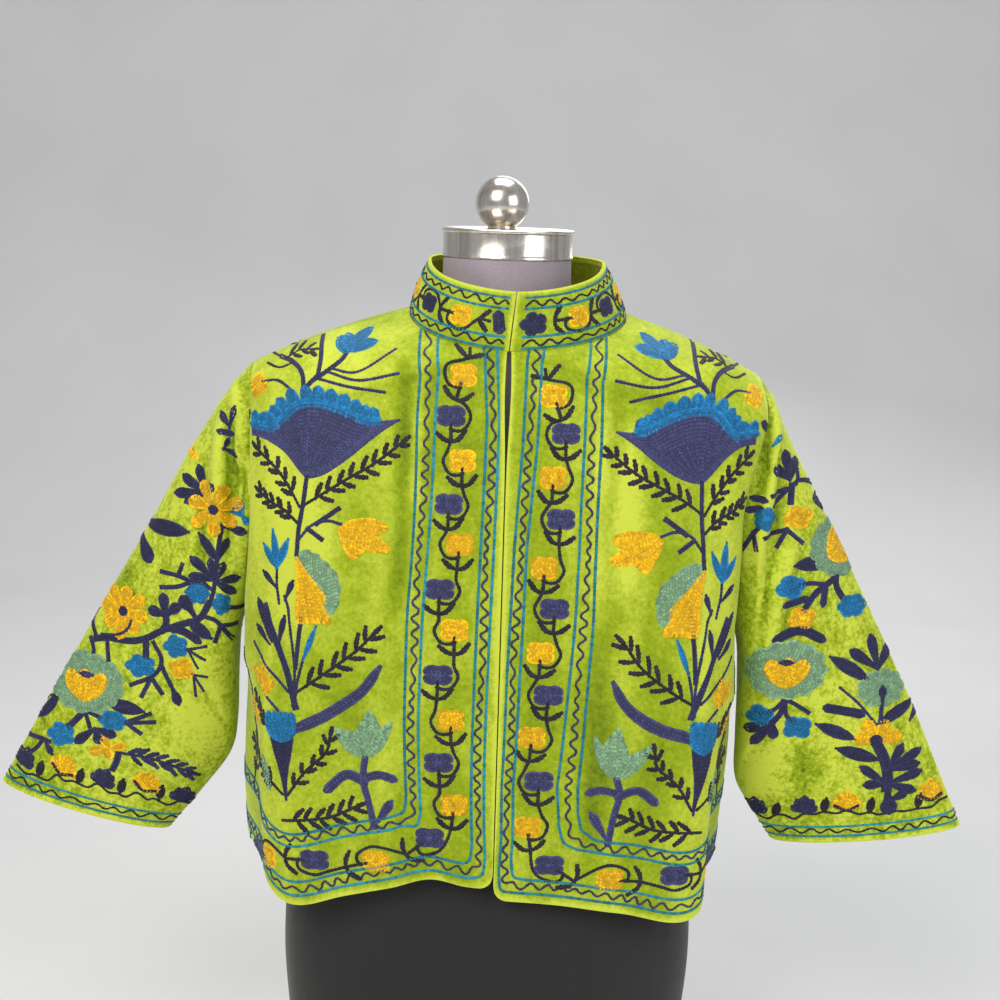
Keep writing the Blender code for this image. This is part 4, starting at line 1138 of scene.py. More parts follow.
class Drawing:
    """What is embroidered on one cloth: rows of chain stitch and the ground under its fills."""

    def __init__(self, cloth, move=None):
        self.cloth = cloth
        self.move = move or (lambda places: places)
        self.rows = []
        self.grounds = []

    def row(self, places, thread, over=0, wide=1.0):
        """One row of chain stitch along the places, over other rows where it says so."""
        places = np.asarray(places, float)
        if len(places) > 1 and np.linalg.norm(np.diff(places, axis=0), axis=1).sum() > 2.0:
            self.rows.append((self.move(places), THREADS[thread][0], OVER * over, wide))

    def ground(self, lattice, thread, over=0):
        """The closely laid threads under a fill, as a lattice of places."""
        moved = self.move(lattice.reshape(-1, 2)).reshape(lattice.shape)
        colour, shade = THREADS[thread]
        # The laid threads' colour, darkened by painted shade as in the grooves between rows
        self.grounds.append((moved, shade * np.asarray(colour), OVER * over))

    def stem(self, thread, rows, *points, over=0, wide=1.25):
        """A stem of rows side by side."""
        line = smooth_line(points)
        side = sideways(line)
        if rows == 1:
            self.row(line, thread, over, wide)
            return
        gap = ROW_GAP * 0.92
        for row in range(rows):
            self.row(line + side * (row - (rows - 1) / 2) * gap, thread, over)
        across = np.linspace(-1, 1, rows + 1)[None, :, None] * (rows * gap / 2 - 0.5)
        few = some_of(line, 3)
        self.ground(line[few][:, None] + side[few][:, None] * across, thread)

    def forks(self, thread, rows, base, *tips):
        """Straight stems from one place to each tip."""
        for tip in tips:
            self.stem(thread, rows, base, tip)

    def blade(self, thread, width, *points, shape="lens", over=0):
        """A leaf or petal along a line: rows at both edges, and rows between them."""
        line = smooth_line(points, 1.2)
        half = width / 2 * np.interp(np.linspace(0, 1, len(line)), *SHAPES[shape])
        side = sideways(line)
        edge = np.maximum(half - ROW_WIDTH / 2, 0.05)[:, None]
        self.row(line + side * edge, thread, over)
        self.row((line - side * edge)[::-1], thread, over)
        offsets = np.arange(-20, 21) * ROW_GAP
        for offset in offsets[np.abs(offsets) < width / 2 - ROW_WIDTH]:
            inside = np.flatnonzero(edge[:, 0] - abs(offset) > ROW_WIDTH * 0.62)
            if len(inside) > 2:
                inside = np.arange(inside[0], inside[-1] + 1)
                self.row(line[inside] + side[inside] * offset, thread, over)
        few = some_of(line, 4)
        across = np.linspace(-1, 1, 3 + 2 * int(width / 8))[None, :, None]
        inset = np.maximum(half[few] - 0.5, 0.05)[:, None, None]
        self.ground(line[few][:, None] + side[few][:, None] * across * inset, thread, over)

    def petals(self, thread, width, centre, *tips, shape="petal", over=0):
        """Petals or lobes from one centre to each tip."""
        for tip in tips:
            self.blade(thread, width, centre, tip, shape=shape, over=over)

    def daisy(self, thread, centre, reach, count, width, turn, eye):
        """A ring of petals, with an eye of another thread."""
        for petal in range(count):
            angle = turn + 360 * petal / count
            foot = centre + toward(angle, reach * 0.12)
            tip = centre + toward(angle, reach * (1.0 + 0.07 * math.sin(petal * 2.4)))
            self.blade(thread, width, foot, tip, shape="petal", over=1)
        self.rings(eye, centre, 4.6, 4.6, 0, 0.0, over=3)

    def rings(self, thread, centre, reach_u, reach_v, lobes, depth, turn=0.0, over=0):
        """A rounded flower of closed rows, one inside the other, with lobes round its edge."""
        angle = np.radians(np.arange(0, 361, 4.0))
        wave = np.abs(np.cos(lobes / 2 * (angle - math.radians(turn)))) ** 0.8
        wave = 1 + depth * (2 * wave - 1)
        ring = np.stack((reach_u * np.cos(angle) * wave, reach_v * np.sin(angle) * wave), axis=-1)
        centre = np.asarray(centre, float)
        reach = (reach_u + reach_v) / 2
        for step in range(int(reach / ROW_GAP)):
            size = (reach - ROW_WIDTH / 2 - step * ROW_GAP) / reach
            if size * reach > 0.7:
                self.row(centre + ring * size, thread, over)
        self.row(centre + ((-1.6, 0.0), (1.6, 0.0)), thread, over, 1.3)
        shares = np.linspace(0.02, 1 - 0.5 / reach, 2 + int(reach / 3))[:, None, None]
        self.ground(centre + ring[None, ::3] * shares, thread, over)

    def twig(self, thread, length, *points, spacing=9.0, lean=46):
        """A thin stem with thick leaflets on both sides, and one at its tip."""
        line = smooth_line(points)
        self.row(line, thread, 0, 1.25)
        side = sideways(line)
        along = np.stack((side[:, 1], -side[:, 0]), axis=-1)
        bare = 0.10
        count = max(2, int(len(line) * 1.5 * (1 - bare) / spacing))
        for each in range(count):
            share = bare + (1 - bare) * (each + 0.5) / count
            at = int(share * (len(line) - 1))
            reach = length * (1.22 - 0.30 * share + 0.10 * math.sin(5.1 * each))
            for hand in (-1, 1):
                spread = math.radians(lean + 7 * math.sin(3.3 * each + hand))
                step = along[at] * math.cos(spread) + side[at] * hand * math.sin(spread)
                start = line[at] + along[at] * (1.8 * hand)
                leaflet = (start, start + step * reach * 0.55, start + step * reach + along[at] * 1.4)
                self.stem(thread, 1, *leaflet, wide=LEAFLET)
        tip = line[-1]
        self.stem(thread, 1, tip - along[-1] * 2.0, tip + along[-1] * length * 0.8, wide=LEAFLET)

    def spray(self, thread, base, rim, left, right, over=0, starts=(0.05, 0.62, 0.36, 0.62, 0.18)):
        """A fill whose rows spread from its base to its rim. left and right hold two places
        each, which bow its sides."""
        base = np.asarray(base, float)
        top = evenly(rim, 2.15)
        last = len(top) - 1

        def spread(each, shares):
            """Places on one row, straight in the middle of the fill and bowed at its sides."""
            side = 2 * each / last - 1
            bowed = np.asarray(left if side < 0 else right, float)
            straight = base + (top[each] - base) * np.array((0.34, 0.67))[:, None]
            first, second = straight + (bowed - straight) * abs(side) ** 1.6
            t = np.asarray(shares)[:, None]
            curve = (1 - t) ** 3 * base + 3 * t * (1 - t) ** 2 * first
            return curve + 3 * t**2 * (1 - t) * second + t**3 * top[each]

        for each in range(last + 1):
            start = 0.04 if each in (0, last) else starts[each % len(starts)]
            self.row(evenly(spread(each, np.linspace(start, 1, 30)), 1.6), thread, over)
        picked = np.unique(np.linspace(0, last, 2 + last // 2).astype(int))
        shares = np.linspace(0.04, 0.99, 15)
        self.ground(np.stack([spread(each, shares) for each in picked], axis=1), thread, over)

    def fan(self, thread, base, rim, left, right, edge, reach):
        """A flower like a fan: its spreading body, and a band of rounded lobes along its rim."""
        top = smooth_line(rim, 1.0)
        self.spray(thread, base, top, left, right)
        out = sideways(top)
        first, last = (int(share * (len(top) - 1)) for share in (0.05, 0.90))
        if np.dot(out[(first + last) // 2], top[(first + last) // 2] - base) < 0:
            out = -out
        count = int((last - first) / 9.8)
        for each in range(count):
            at = first + int((last - first) * (each + 0.5) / count)
            far = reach * (0.72 + 0.30 * math.sin(math.pi * (each + 0.8) / (count + 1)))
            foot, tip = top[at] - out[at] * 2.0, top[at] + out[at] * far
            self.blade(edge, 12.5, foot, tip, shape="round", over=0.5)
        for step in (1.2, 3.4):
            self.row(top[first:last] + out[first:last] * step, edge, 1.8)

    def thistle(self, thread, width, crown, foot, edge):
        """A tapering cup of one thread under a square tufted crown of another."""
        crown, foot = np.asarray(crown, float), np.asarray(foot, float)
        self.blade(thread, width * 0.92, crown, foot, shape="cone")
        up = (crown - foot) / np.linalg.norm(crown - foot)
        aside = np.array((up[1], -up[0]))
        rim = [
            crown + aside * width * share * 1.05 + up * width * (0.66 if each % 2 else 0.56)
            for each, share in enumerate(np.linspace(-0.5, 0.5, 11))
        ]
        base = crown - up * width * 0.28
        sides = [
            [base + aside * width * 0.56 * hand + up * width * rise for rise in (0.10, 0.45)]
            for hand in (-1, 1)
        ]
        self.spray(edge, base, rim, *sides, over=1.2, starts=(0.05, 0.45, 0.25))

    def dahlia(self, thread, middle, reach_u, reach_v, lean=0.0):
        """A full round flower: rings with a wavy edge, a yellow heart and a navy seed."""
        self.rings(thread, middle, reach_u, reach_v, 13, 0.065, over=1)
        across, up = toward(lean, reach_u * 0.52), toward(lean + 90, reach_v)
        base = middle - up * 0.60
        sides = [
            [base + across * side * share + up * rise for share, rise in ((0.36, 0.02), (0.86, 0.26))]
            for side in (-1, 1)
        ]
        rim = smooth_line([middle + across * u + up * v for u, v in DAHLIA_HEART], 1.0)
        self.spray("yellow", base, rim, *sides, over=2.5)
        seed = middle + toward(lean + 95, reach_v * 0.28)
        ends = seed - toward(lean, 6.0), seed + toward(lean, 5.0)
        self.blade("navy", 6.5, *ends, shape="oval", over=4)

    def zigzag(self, line, thread="ink", length=14.0, reach=2.5, wide=0.95):
        """A wavy row along a line, a little uneven as handwork is."""
        run = np.arange(len(line)) * 1.5
        wave = np.sin(run * 2 * math.pi / length + 1.3 * np.sin(run / 31) + 0.8 * np.sin(run / 11)) * reach
        wave *= 1 + 0.28 * np.sin(run / 19)
        wave += 0.9 * np.sin(run / 27)
        self.row(line + sideways(line) * wave[:, None], thread, 0, wide)

    def beside_cuff(self, offset):
        """A line beside the cuff, that far in from its edge."""
        order = np.argsort(self.cloth.across[-1])
        across, along = (edge[-1][order] / MM for edge in (self.cloth.across, self.cloth.along))
        near, far = len(order) // 8, len(order) // 3
        slope = (along[far] - along[near]) / (across[far] - across[near])
        beyond = 24.0
        across = np.concatenate(([across[near] - beyond], across[near:]))
        along = np.concatenate(([along[near] - slope * beyond], along[near:]))
        steps = np.arange(across[0], across[-1], 6.0)
        return smooth_line(np.stack((steps, np.interp(steps, across, along) + offset), axis=-1))

    def cuff(self, thread, between):
        """Two lines round the cuff, and a zigzag of another thread between them."""
        for offset in (6.7, 16.0):
            self.row(self.beside_cuff(offset), thread, 0, 0.95)
        self.zigzag(self.beside_cuff(11.3), between, 17.0, 2.0, 0.8)

    def bud(self, thread, lean, place):
        """A small bud of the cuff's garland."""
        foot = place - toward(lean, 5.5)
        self.blade(thread, 8.5, foot, foot + toward(lean - 12, 12.5), shape="oval")

    def flower(self, thread, lean, bed):
        """A flower of the cuff's garland: five petals, and a black cup round a yellow one."""
        far = 15.0 if thread == "navy" else 17.0
        for turn in (-66, -32, 0, 32, 66):
            tip = bed + toward(lean + turn, far - abs(turn) * 0.05)
            self.blade(thread, 9.5, bed, tip, shape="petal")
        if thread == "yellow":
            left, right = (bed + toward(lean + turn, 10.5) for turn in (-75, 75))
            self.stem("black", 1, left, bed - toward(lean, 1.5), right, over=1.2, wide=1.5)


# The patterns' language. A line begins with what is stitched, one of a Drawing's methods, then
# its thread, its size where it has one, the name of a shape and further settings. After each
# semicolon come the places, in millimetres across and up, of one of it. A slash parts the
# places of a fill: its base, its rim and its two sides. A line that begins with spaces goes on
# with the one above it, and one that begins with a number sign is a heading.

# The large spray of a front, from the shoulder down to the hem
FRONT_FIELD = """
# Twigs and buds over the fan
stem navy 2; 183,662 176,669 168,676; 168,676 166,690 169,707; 172,672 158,681 146,690 140,699
stem navy 1; 156,682 132,681 99,700; 158,679 132,674 98,681; 166,673 140,668 111,665
petals blue 10 oval; 145,697 122,714 116,705
petals blue 13 oval; 138,697 153,704 145,708
stem navy 2; 182,662 183,676 192,684 206,687
stem navy 1; 206,687 222,688 238,684
stem black 1; 192,684 205,679 218,681
twig black 6.5 spacing=7; 200,686 188,693 174,695
petals blue 8 lens; 216,692 234,704 240,694
stem navy 1; 192,661 206,669 222,667
blade yellow 17 bar; 220,668 236,659
fan violet edge=blue reach=14.5; 180,591 / 238,622 237,630 216,629 205,637 190,649 174,652 158,650 142,645
  127,640 113,640 98,642 / 190,596 201,623 / 158,589 122,631
blade navy 8 bar; 244,640 256,634
# The main stem and the black twigs beside it
stem navy 2; 180,592 183,570 187,545 188,524
twig black 10 spacing=11; 184,566 163,579 142,592 118,606 94,624
twig black 9 spacing=11; 187,566 198,582 212,598 232,611
twig black 7.5 spacing=8.5; 189,552 202,562 216,568 229,575
stem navy 1; 186,538 175,550 160,555 148,553
stem navy 2; 170,552 150,566; 178,547 165,539
# Tulips and the carnation
spray yellow; 149,549 / 118,558 108,555 106,551 111,547 117,545 110,540 103,535 106,531 116,531 125,533
  131,526 136,524 / 140,558 128,559 / 147,539 141,528
petals blue 8.5 lens; 207,511 212,543 223,530 197,536
stem navy 1; 207,512 206,496 201,480
blade navy 6.5 petal; 206,493 222,506; 195,484 190,500
blade sage 22 scalloped; 185,524 174,517 164,510 154,502 150,490 150,476
spray yellow over=0.6; 188,522 / 182,477 178,465 164,467 149,467 150,472 157,480 157,490 / 187,511 183,492 /
  182,514 168,500
# Stalks between the carnation and the thistle
stem navy 3; 177,390 186,420 200,449 216,476
blade navy 7 petal; 205,443 224,456; 196,442 192,468
blade navy 9 petal; 203,446 226,480
stem navy 1; 180,392 179,425 188,470 196,486
stem navy 2; 178,425 176,455 174,482
stem navy 1; 185,404 206,422 228,440
blade blue 6; 171,433 161,462
stem navy 1; 171,434 176,412 178,392
twig black 12.5 spacing=11.5; 176,404 157,418 140,431 124,444 110,459
blade violet 10.5 sickle; 178,371 149,386 120,407 103,431
stem navy 1; 193,384 202,392 210,400
petals yellow 10.5; 207,398 227,419 211,424
blade yellow 9 petal; 207,398 201,412
# The thistle, the sage tulip and the fern
thistle navy 27 edge=blue; 191,366 186,308
twig black 8 spacing=12; 184,312 168,334 150,352 146,368
twig black 9 spacing=12; 190,312 212,327 236,338 262,342
spray sage; 117,350 / 142,373 134,371 125,369 119,379 112,391 106,384 101,375 96,379 92,382 / 131,350 138,361
  / 104,350 94,366
stem violet 3; 115,351 117,330 112,308 108,287
blade violet 9 bar; 114,327 132,333 150,318
blade violet 8 bar; 116,331 102,335 88,331
blade violet 9 petal; 106,291 92,312
twig black 11 spacing=9.5 lean=52; 190,288 166,291 145,295 123,305
# The side, round towards the seam
blade sage 12 oval; 205,314 209,326 214,341
twig black 6.5 spacing=7; 203,368 213,377 229,392
twig black 9 spacing=13; 262,300 250,340 252,380 262,420
petals yellow 12; 240,364 256,386 240,390 226,380
"""

# Half of the back's middle column
BACK_COLUMN = """
dahlia sage; 0,612 42 34
stem navy 4; 0,578 0,520 0,440 0,330
stem navy 2; 0,534 17,542 34,552
rings blue; 42,556 12 10 5 0.17
blade navy 10; 2,526 30.6,518
stem navy 2; 0,472 19,480 38,490
rings yellow; 46,494 12 10 5 0.17
blade navy 10; 2,464 34.2,456
stem navy 2; 0,410 18,418 36,428
rings blue; 44,432 12 10 5 0.17
blade navy 10; 2,402 32.4,394
stem navy 2; 0,352 15,360 30,370
rings yellow; 38,374 12 10 5 0.17
blade navy 10; 2,344 27,336
petals sage 14; 0,336 24,352 30,332
petals navy 10; 0,650 14,672 26,660
"""

# The branches and flowers of the right sleeve
RIGHT_SLEEVE = """
petals navy 7; 240,624 236,642 249,636
blade navy 6 bar; 236,618 250,621
petals navy 6; 244,606 232,600 240,614
blade yellow 8; 270,594 282,602
petals navy 10; 260,566 268,588 283,578 290,562
petals navy 9; 262,564 279,556 252,574
daisy yellow eye=navy; 251,553 24 7 13 12
petals blue 8; 226,548 237,554 228,560 220,541
blade navy 15; 319,531 275,530
blade navy 14 petal; 324,521 311,499
blade navy 9 petal; 243,538 223,533
stem navy 2; 243,542 246,521 249,495 251,480 255,466
blade navy 11; 247,508 265,529
blade navy 8 petal; 246,509 239,526
petals navy 9.5; 250,489 272,508 254,508 273,491
petals navy 9; 249,488 242,505 229,491 233,477
stem navy 2; 252,480 262,485 272,486 284,490 300,492; 284,490 280,501; 270,486 285,480 300,478
rings blue; 266,476 10.5 9.5 6 0.16; 244,467 7.5 10 5 0.16
stem navy 2; 240,464 229,461
forks navy 1; 229,461 218,471 216,462 219,453
daisy yellow eye=navy; 336,452 23 8 13 8
petals navy 11; 296,453 298,472 311,457 283,463
stem navy 3; 296,455 295,446 299,438; 364,424 350,427 330,426 314,430 298,439 280,446 264,453 255,468
stem navy 1 over=3; 356,429 340,431 331,437 328,444
stem navy 2; 368,424 364,414 366,406; 362,426 368,438 364,448; 351,424 349,403
blade navy 15 drop; 265,450 281,471
blade navy 13; 274,450 254,435
blade navy 8 bar; 292,441 278,439 264,431
stem navy 2; 259,455 250,452 245,446
forks navy 2; 245,447 233,446 236,432 250,432
rings blue; 286,425 10.5 10 5 0.18
forks navy 1; 275,423 259,427 260,415 266,407
stem navy 3; 314,429 314,412
rings blue; 319,404 13 9.5 5 0.18
stem navy 2; 307,427 300,413 302,402 311,392
forks navy 2; 309,394 328,386 318,376 300,379
stem navy 2; 300,406 296,396 292,387
blade navy 10.5 drop; 294,392 284,370
rings yellow; 281,404 11.5 9.5 4 0.2 30
forks navy 1; 270,400 259,398 262,384 269,379
dahlia sage; 371,384 36 27
blade navy 13; 398,370 418,346
blade navy 14; 351,368 317,361
stem navy 3; 372,358 379,350 387,342
stem navy 2; 371,357 366,341; 369,358 357,353
rings blue; 394,334 12.5 10 5 0.18; 345,351 13 9 6 0.14
petals navy 10; 362,342 380,328 358,329 343,337
forks navy 2; 333,350 311,359 307,351 320,340
petals yellow 10; 349,324 366,320 354,334 334,328 349,315
stem navy 2; 427,329 415,328 405,326; 412,328 417,320 424,314
blade navy 7 petal; 410,326 403,315
stem navy 3; 340,321 342,312 346,304
twig navy 10 spacing=8.5 lean=38; 341,321 315,317 296,311 276,302
# The cuff and its garland
cuff teal; black
stem black 1 wide=1.0; 437,300 428,294 420,294 407,290 398,296 391,291 382,291 369,286 360,290 350,282
  342,281 334,278 324,282 315,275 309,276 297,269 286,272 276,266 266,270 250,262
bud black 118; 413,299; 375,295; 337,287; 302,281
flower navy 118; 433,303
flower yellow 118; 394,299
flower navy 118; 357,290
flower yellow 118; 318,286
flower navy 118; 286,272
"""

# The branches and flowers of the left sleeve
LEFT_SLEEVE = """
blade blue 6 petal; 238,624 245,632
petals navy 10.5; 256,592 251,617 240,604 262,610
stem navy 2; 262,606 264,594 262,588; 264,591 274,589 288,581; 262,589 251,581 240,570
stem navy 3; 258,588 257,572
stem navy 2; 252,584 238,580
rings blue; 233,560 9.5 10 5 0.17
rings yellow; 265,559 13.5 9 4 0.18 20
petals navy 11; 290,563 282,577 296,572
blade navy 6.5 bar; 220,578 233,576; 216,567 230,569
stem navy 2; 228,554 223,546
forks navy 2; 223,547 215,532 226,532; 254,549 233,543 246,534 269,537
dahlia sage; 308,531 31 26 -50
blade navy 14; 262,517 298,518
stem navy 3; 308,512 300,502 284,491 273,476
stem navy 2; 293,498 280,500 268,499
rings blue; 260,498 13 10 4 0.18 20
stem navy 3; 303,507 304,495 311,484
rings blue; 320,477 14.5 9.5 6 0.12
blade navy 7 bar; 276,487 254,481; 293,496 291,479
rings yellow; 272,469 12.5 9 4 0.22 30
blade navy 9.5 bar; 247,449 270,458 294,448
dahlia sage; 261,421 36 27
blade navy 13; 301,432 338,410
petals navy 11; 347,419 339,449 320,437 359,438
rings sage; 351,401 23 16.5 9 0.08
blade navy 9 drop over=3; 352,384 352,402
stem navy 2; 352,386 351,370
stem navy 1; 312,403 330,388 347,369
blade navy 9 bar; 298,385 335,378
blade navy 12; 350,369 384,387
blade navy 8 petal; 381,370 390,382
petals yellow 14; 349,353 329,356 337,371 358,371 372,357
rings navy over=3; 348,354 6 5 0 0
blade navy 12.5; 292,369 328,355
blade navy 13; 312,346 351,335
stem navy 5; 348,352 356,338 361,322 361,306
petals navy 10; 361,325 374,348 392,343 391,330
petals navy 9.5; 361,312 336,328 340,311 393,323 388,305
blade navy 17 drop; 361,312 365,284
blade navy 9 petal; 364,296 380,304
stem navy 2; 261,394 252,384 240,379
stem navy 3; 261,393 258,380 248,367
stem navy 2; 262,392 264,377 272,370; 264,392 284,380
rings blue; 240,377 11 9.5 4 0.2 20; 275,365 12.5 10 4 0.2 40
petals navy 11; 252,369 228,362 235,348 254,355
# The cuff and its garland
cuff teal; black
stem black 1 wide=1.0; 236,280 248,274 256,272 262,277 270,278 279,275 287,281 296,281 305,284 316,283
  326,286 337,283 347,285 355,283 370,286 380,286 392,288 405,289 412,294 420,296
bud black 92; 261,282; 304,290; 346,291; 391,295
flower navy 92; 243,277; 287,283
flower yellow 92; 325,288; 404,297
"""


def read(word):
    """A place, a number or a name, as a pattern's word says it."""
    if "," in word:
        return np.array([float(part) for part in word.split(",")])
    if word.strip("-.0123456789"):
        return word
    return float(word) if "." in word else int(word)


def work(drawing, pattern):
    """Works the lines of a pattern."""
    for line in pattern.strip().replace("\n  ", " ").splitlines():
        if line.startswith("#"):
            continue
        head, *marks = line.split(";")
        kind, thread, *words = head.split()
        sizes, settings = [], {}
        for word in words:
            key, _, value = word.rpartition("=")
            if key or word in SHAPES:
                settings[key or "shape"] = read(value)
            else:
                sizes.append(read(word))
        for mark in marks:
            first, *others = ([read(word) for word in group.split()] for group in mark.split("/"))
            getattr(drawing, kind)(thread, *sizes, *first, *others, **settings)


# The four teal lines of each front's border, in millimetres from the centre line: height, lines
BORDER = {
    "front_right": (
        (760, 12, 23, 60, 76), (690, 10, 21, 62, 78), (646, 7, 18, 64, 80), (540, 8.5, 20, 67, 81),
        (385, 11, 22, 69, 81), (300, 12, 23, 67, 79), (200, 12, 23, 67, 79),
    ),
    "front_left": (
        (760, 18, 31, 70, 83), (626, 15, 28, 70, 85), (536, 10, 21, 68, 83), (430, 7, 18, 61, 77),
        (327, 6, 16, 54, 72), (280, 9, 19, 60, 76), (200, 10, 20, 62, 77),
    ),
}
HEM_LINES = (8.5, 21.0, 53.0, 64.0)

# The middles of the border's blossoms, yellow and violet by turns, from the collar down
BLOSSOMS = {
    "front_right": (
        (40, 682), (50, 648), (39, 611), (50, 574), (39, 540), (54, 501), (40, 466), (53, 426),
        (41, 386), (51, 348), (38, 310), (60, 280), (109, 256), (163, 255), (214, 251), (262, 246),
    ),
    "front_left": (
        (41, 667), (53, 636), (43, 599), (51, 564), (37, 522), (46, 487), (35, 448), (43, 411),
        (30, 373), (38, 334), (31, 292), (53, 258), (107, 246), (164, 250), (214, 246), (260, 246),
    ),
}

# How the left front's drawing stands off from the right one's: place, then the step from it
LEFT_STEPS = (
    (180, 592, 0, 5), (236, 622, -9, 6), (99, 643, 2, -5), (168, 676, 1, 4), (135, 705, -7, 3),
    (120, 540, -7, -6), (207, 513, -2, -2), (150, 470, -8, -2), (185, 380, -10, 4),
    (110, 420, -5, -11), (104, 454, -3, 0), (186, 310, -12, -3), (117, 360, -11, -14),
    (108, 288, -6, -9), (125, 296, -8, 0), (186, 288, -3, 0),
)


def left_front_step(places):
    """Moves places of the right front's drawing to where the left front has them."""
    table = np.asarray(LEFT_STEPS, float)
    gap = np.linalg.norm(places[:, None] - table[None, :, :2], axis=-1)
    weight = 1 / (gap**2 + 80.0)
    return places + (weight @ table[:, 2:]) / weight.sum(axis=1)[:, None]


def hem_height(cloth, across):
    """How high the hem stands at places across a cloth, in millimetres."""
    return np.interp(np.asarray(across) * MM, cloth.across[0], cloth.along[0]) / MM


def front_line(cloth, name, column, reach):
    """One line of a front's border: down beside the opening, round the corner, along the hem."""
    table = np.asarray(BORDER[name])[::-1]
    corner = HEM_LINES[column - 1]
    bottom = hem_height(cloth, 30.0) + corner
    line_u = np.interp(bottom, table[:, 0], table[:, column])
    bend = 16.0
    heights = np.arange(cloth.along[-1, 0] / MM + 14, bottom + bend, -6.0)
    down = [(np.interp(z, table[:, 0], table[:, column]), z) for z in heights]
    round_corner = [(line_u + 2.2, bottom + 5.0), (line_u + 6.0, bottom + 1.2)]
    across = np.arange(line_u + bend, reach, 8.0)
    along = np.stack((across, hem_height(cloth, across) + corner), axis=-1)
    return smooth_line(np.vstack((down, round_corner, along)))


def midway(first, second):
    """The line midway between two lines."""
    share = np.linspace(0, 1, min(len(first), len(second)))
    both = [
        np.stack([np.interp(share, np.linspace(0, 1, len(line)), line[:, i]) for i in (0, 1)], -1)
        for line in (first, second)
    ]
    return evenly((both[0] + both[1]) / 2, 1.5)


def vine(d, middles, first="yellow", out_first=1.0, dark="violet", size=1.0, begins=True):
    """A winding stem that curls under four-lobed blossoms, with leaflets at each crossing."""
    middles = np.asarray(middles, float)
    ahead = np.gradient(middles, axis=0)
    ahead /= np.linalg.norm(ahead, axis=1)[:, None]
    aside = np.stack((-ahead[:, 1], ahead[:, 0]), axis=-1)
    lies_flat = (np.abs(ahead[:, 0]) > np.abs(ahead[:, 1]))[:, None]
    onwards = ahead * np.where(lies_flat, 1.3, 1.0) * size
    outwards = aside * np.where(lies_flat, 0.78, 1.0) * size
    ahead, aside = ahead * size, aside * size
    colours = ("yellow", dark) if first == "yellow" else (dark, "yellow")
    for each, (middle, way, side, far) in enumerate(zip(middles, ahead, aside, onwards)):
        colour = colours[each % 2]
        broad, high = (24.5, 19.5) if colour == "yellow" else (26.0, 17.5)
        d.rings(colour, middle, broad / 2 * size, high / 2 * size, 4, 0.19, 45)
        cross = middle + far * 20.5
        d.stem("black", 1, middle + far * 7.0, middle + far * 14.0, cross, over=1, wide=1.35)
        for lean in (-1, 1):
            elbow = cross - way + side * lean * 6.5
            tip = cross - way * (7.0 - lean * 1.2) + side * lean * 12.5
            d.stem("black", 1, cross + way, elbow, tip, wide=LEAFLET)
        if each + 1 < len(middles):
            following, onward = middles[each + 1], onwards[each + 1]
            bulge = outwards[each + 1] * (-out_first if each % 2 == 0 else out_first) * 17.0
            curl = ((0.80, -8.0), (1.02, 1.0), (0.72, 10.5), (0.30, 12.5), (0.0, 11.0))
            rest = [following + bulge * share + onward * step for share, step in curl]
            d.stem("black", 1, cross, *rest, wide=1.35)
    if begins:
        middle, way, side = middles[0], onwards[0], outwards[0]
        cross = middle - way * 15.0
        bulge = side * out_first * 17.0
        curl = ((0.85, -6.0), (1.0, 2.0), (0.6, 11.0), (0.0, 11.0))
        rest = [middle + bulge * share + way * step for share, step in curl]
        d.stem("black", 1, cross - way * 8, cross, *rest, wide=1.35)
        for lean in (-1, 1):
            d.stem("black", 1, cross, cross - way * 7.0 + side * lean * 12.0, wide=LEAFLET)


def patterned(cloth, pattern, move=None):
    """A pattern, drawn on a cloth."""
    d = Drawing(cloth, move)
    work(d, pattern)
    return d


def front(cloths, name, move=None):
    """The whole drawing of a front: border lines, vine and field."""
    cloth = cloths[name]
    border = Drawing(cloth)
    for column in (1, 2, 3, 4):
        border.row(front_line(cloth, name, column, 400.0 if column < 3 else 396.0), "teal", 0, 1.15)
    for column in (1, 3):
        inner, outer = (front_line(cloth, name, each, 398.0) for each in (column, column + 1))
        border.zigzag(midway(inner, outer))
    vine(border, BLOSSOMS[name])
    return [border, patterned(cloth, FRONT_FIELD, move)]


def collar_drawing(cloth):
    """Lines, zigzags and a vine of small blossoms right round the collar."""
    d = Drawing(cloth)
    run = np.arange(6.0, 515.0, 8.0)
    for rise in (2.2, 11.5, 35.0, 44.5):
        d.row(smooth_line([(u, rise) for u in run]), "teal", 0, 1.05)
    for rise in (6.8, 39.8):
        d.zigzag(smooth_line([(u, rise) for u in run]), "black", 15.0, 2.0, 0.85)
    places = (45, 86, 128, 171, 213, 256, 298, 340, 383, 425, 462)
    vine(d, [(u, 23.0) for u in places], out_first=-1.0, dark="navy", size=0.86)
    d.blade("navy", 10.0, (13, 31), (9, 15), shape="bar")
    d.rings("navy", (503, 22), 10.5, 9.5, 5, 0.14)
    return [d]


def spread(places):
    """Moves places of a front's field to where a half of the back has them."""
    raised = 345.0 + (places[:, 1] - 287.0) * 0.875
    return np.stack(((places[:, 0] - 88.0) * 1.06 + 62.0, raised), axis=-1)


def back_half(cloth, side):
    """One half of the back: hem border, the spray as on the fronts, half the middle column."""
    d = Drawing(cloth)
    across = np.arange(0.0, 420.0, 8.0)
    hem = np.stack((across, hem_height(cloth, across)), axis=-1)
    for offset in HEM_LINES:
        d.row(smooth_line(hem + (0.0, offset)), "teal", 0, 1.15)
    for lower, upper in (HEM_LINES[:2], HEM_LINES[2:]):
        d.zigzag(smooth_line(hem + (0.0, (lower + upper) / 2)))
    middles = [(u, hem_height(cloth, u) + 37.0) for u in np.arange(25.0, 300.0, 50.0)]
    vine(d, middles, "yellow" if side < 0 else "violet", out_first=side, begins=False)
    work(d, BACK_COLUMN)
    return [d, patterned(cloth, FRONT_FIELD, spread)]


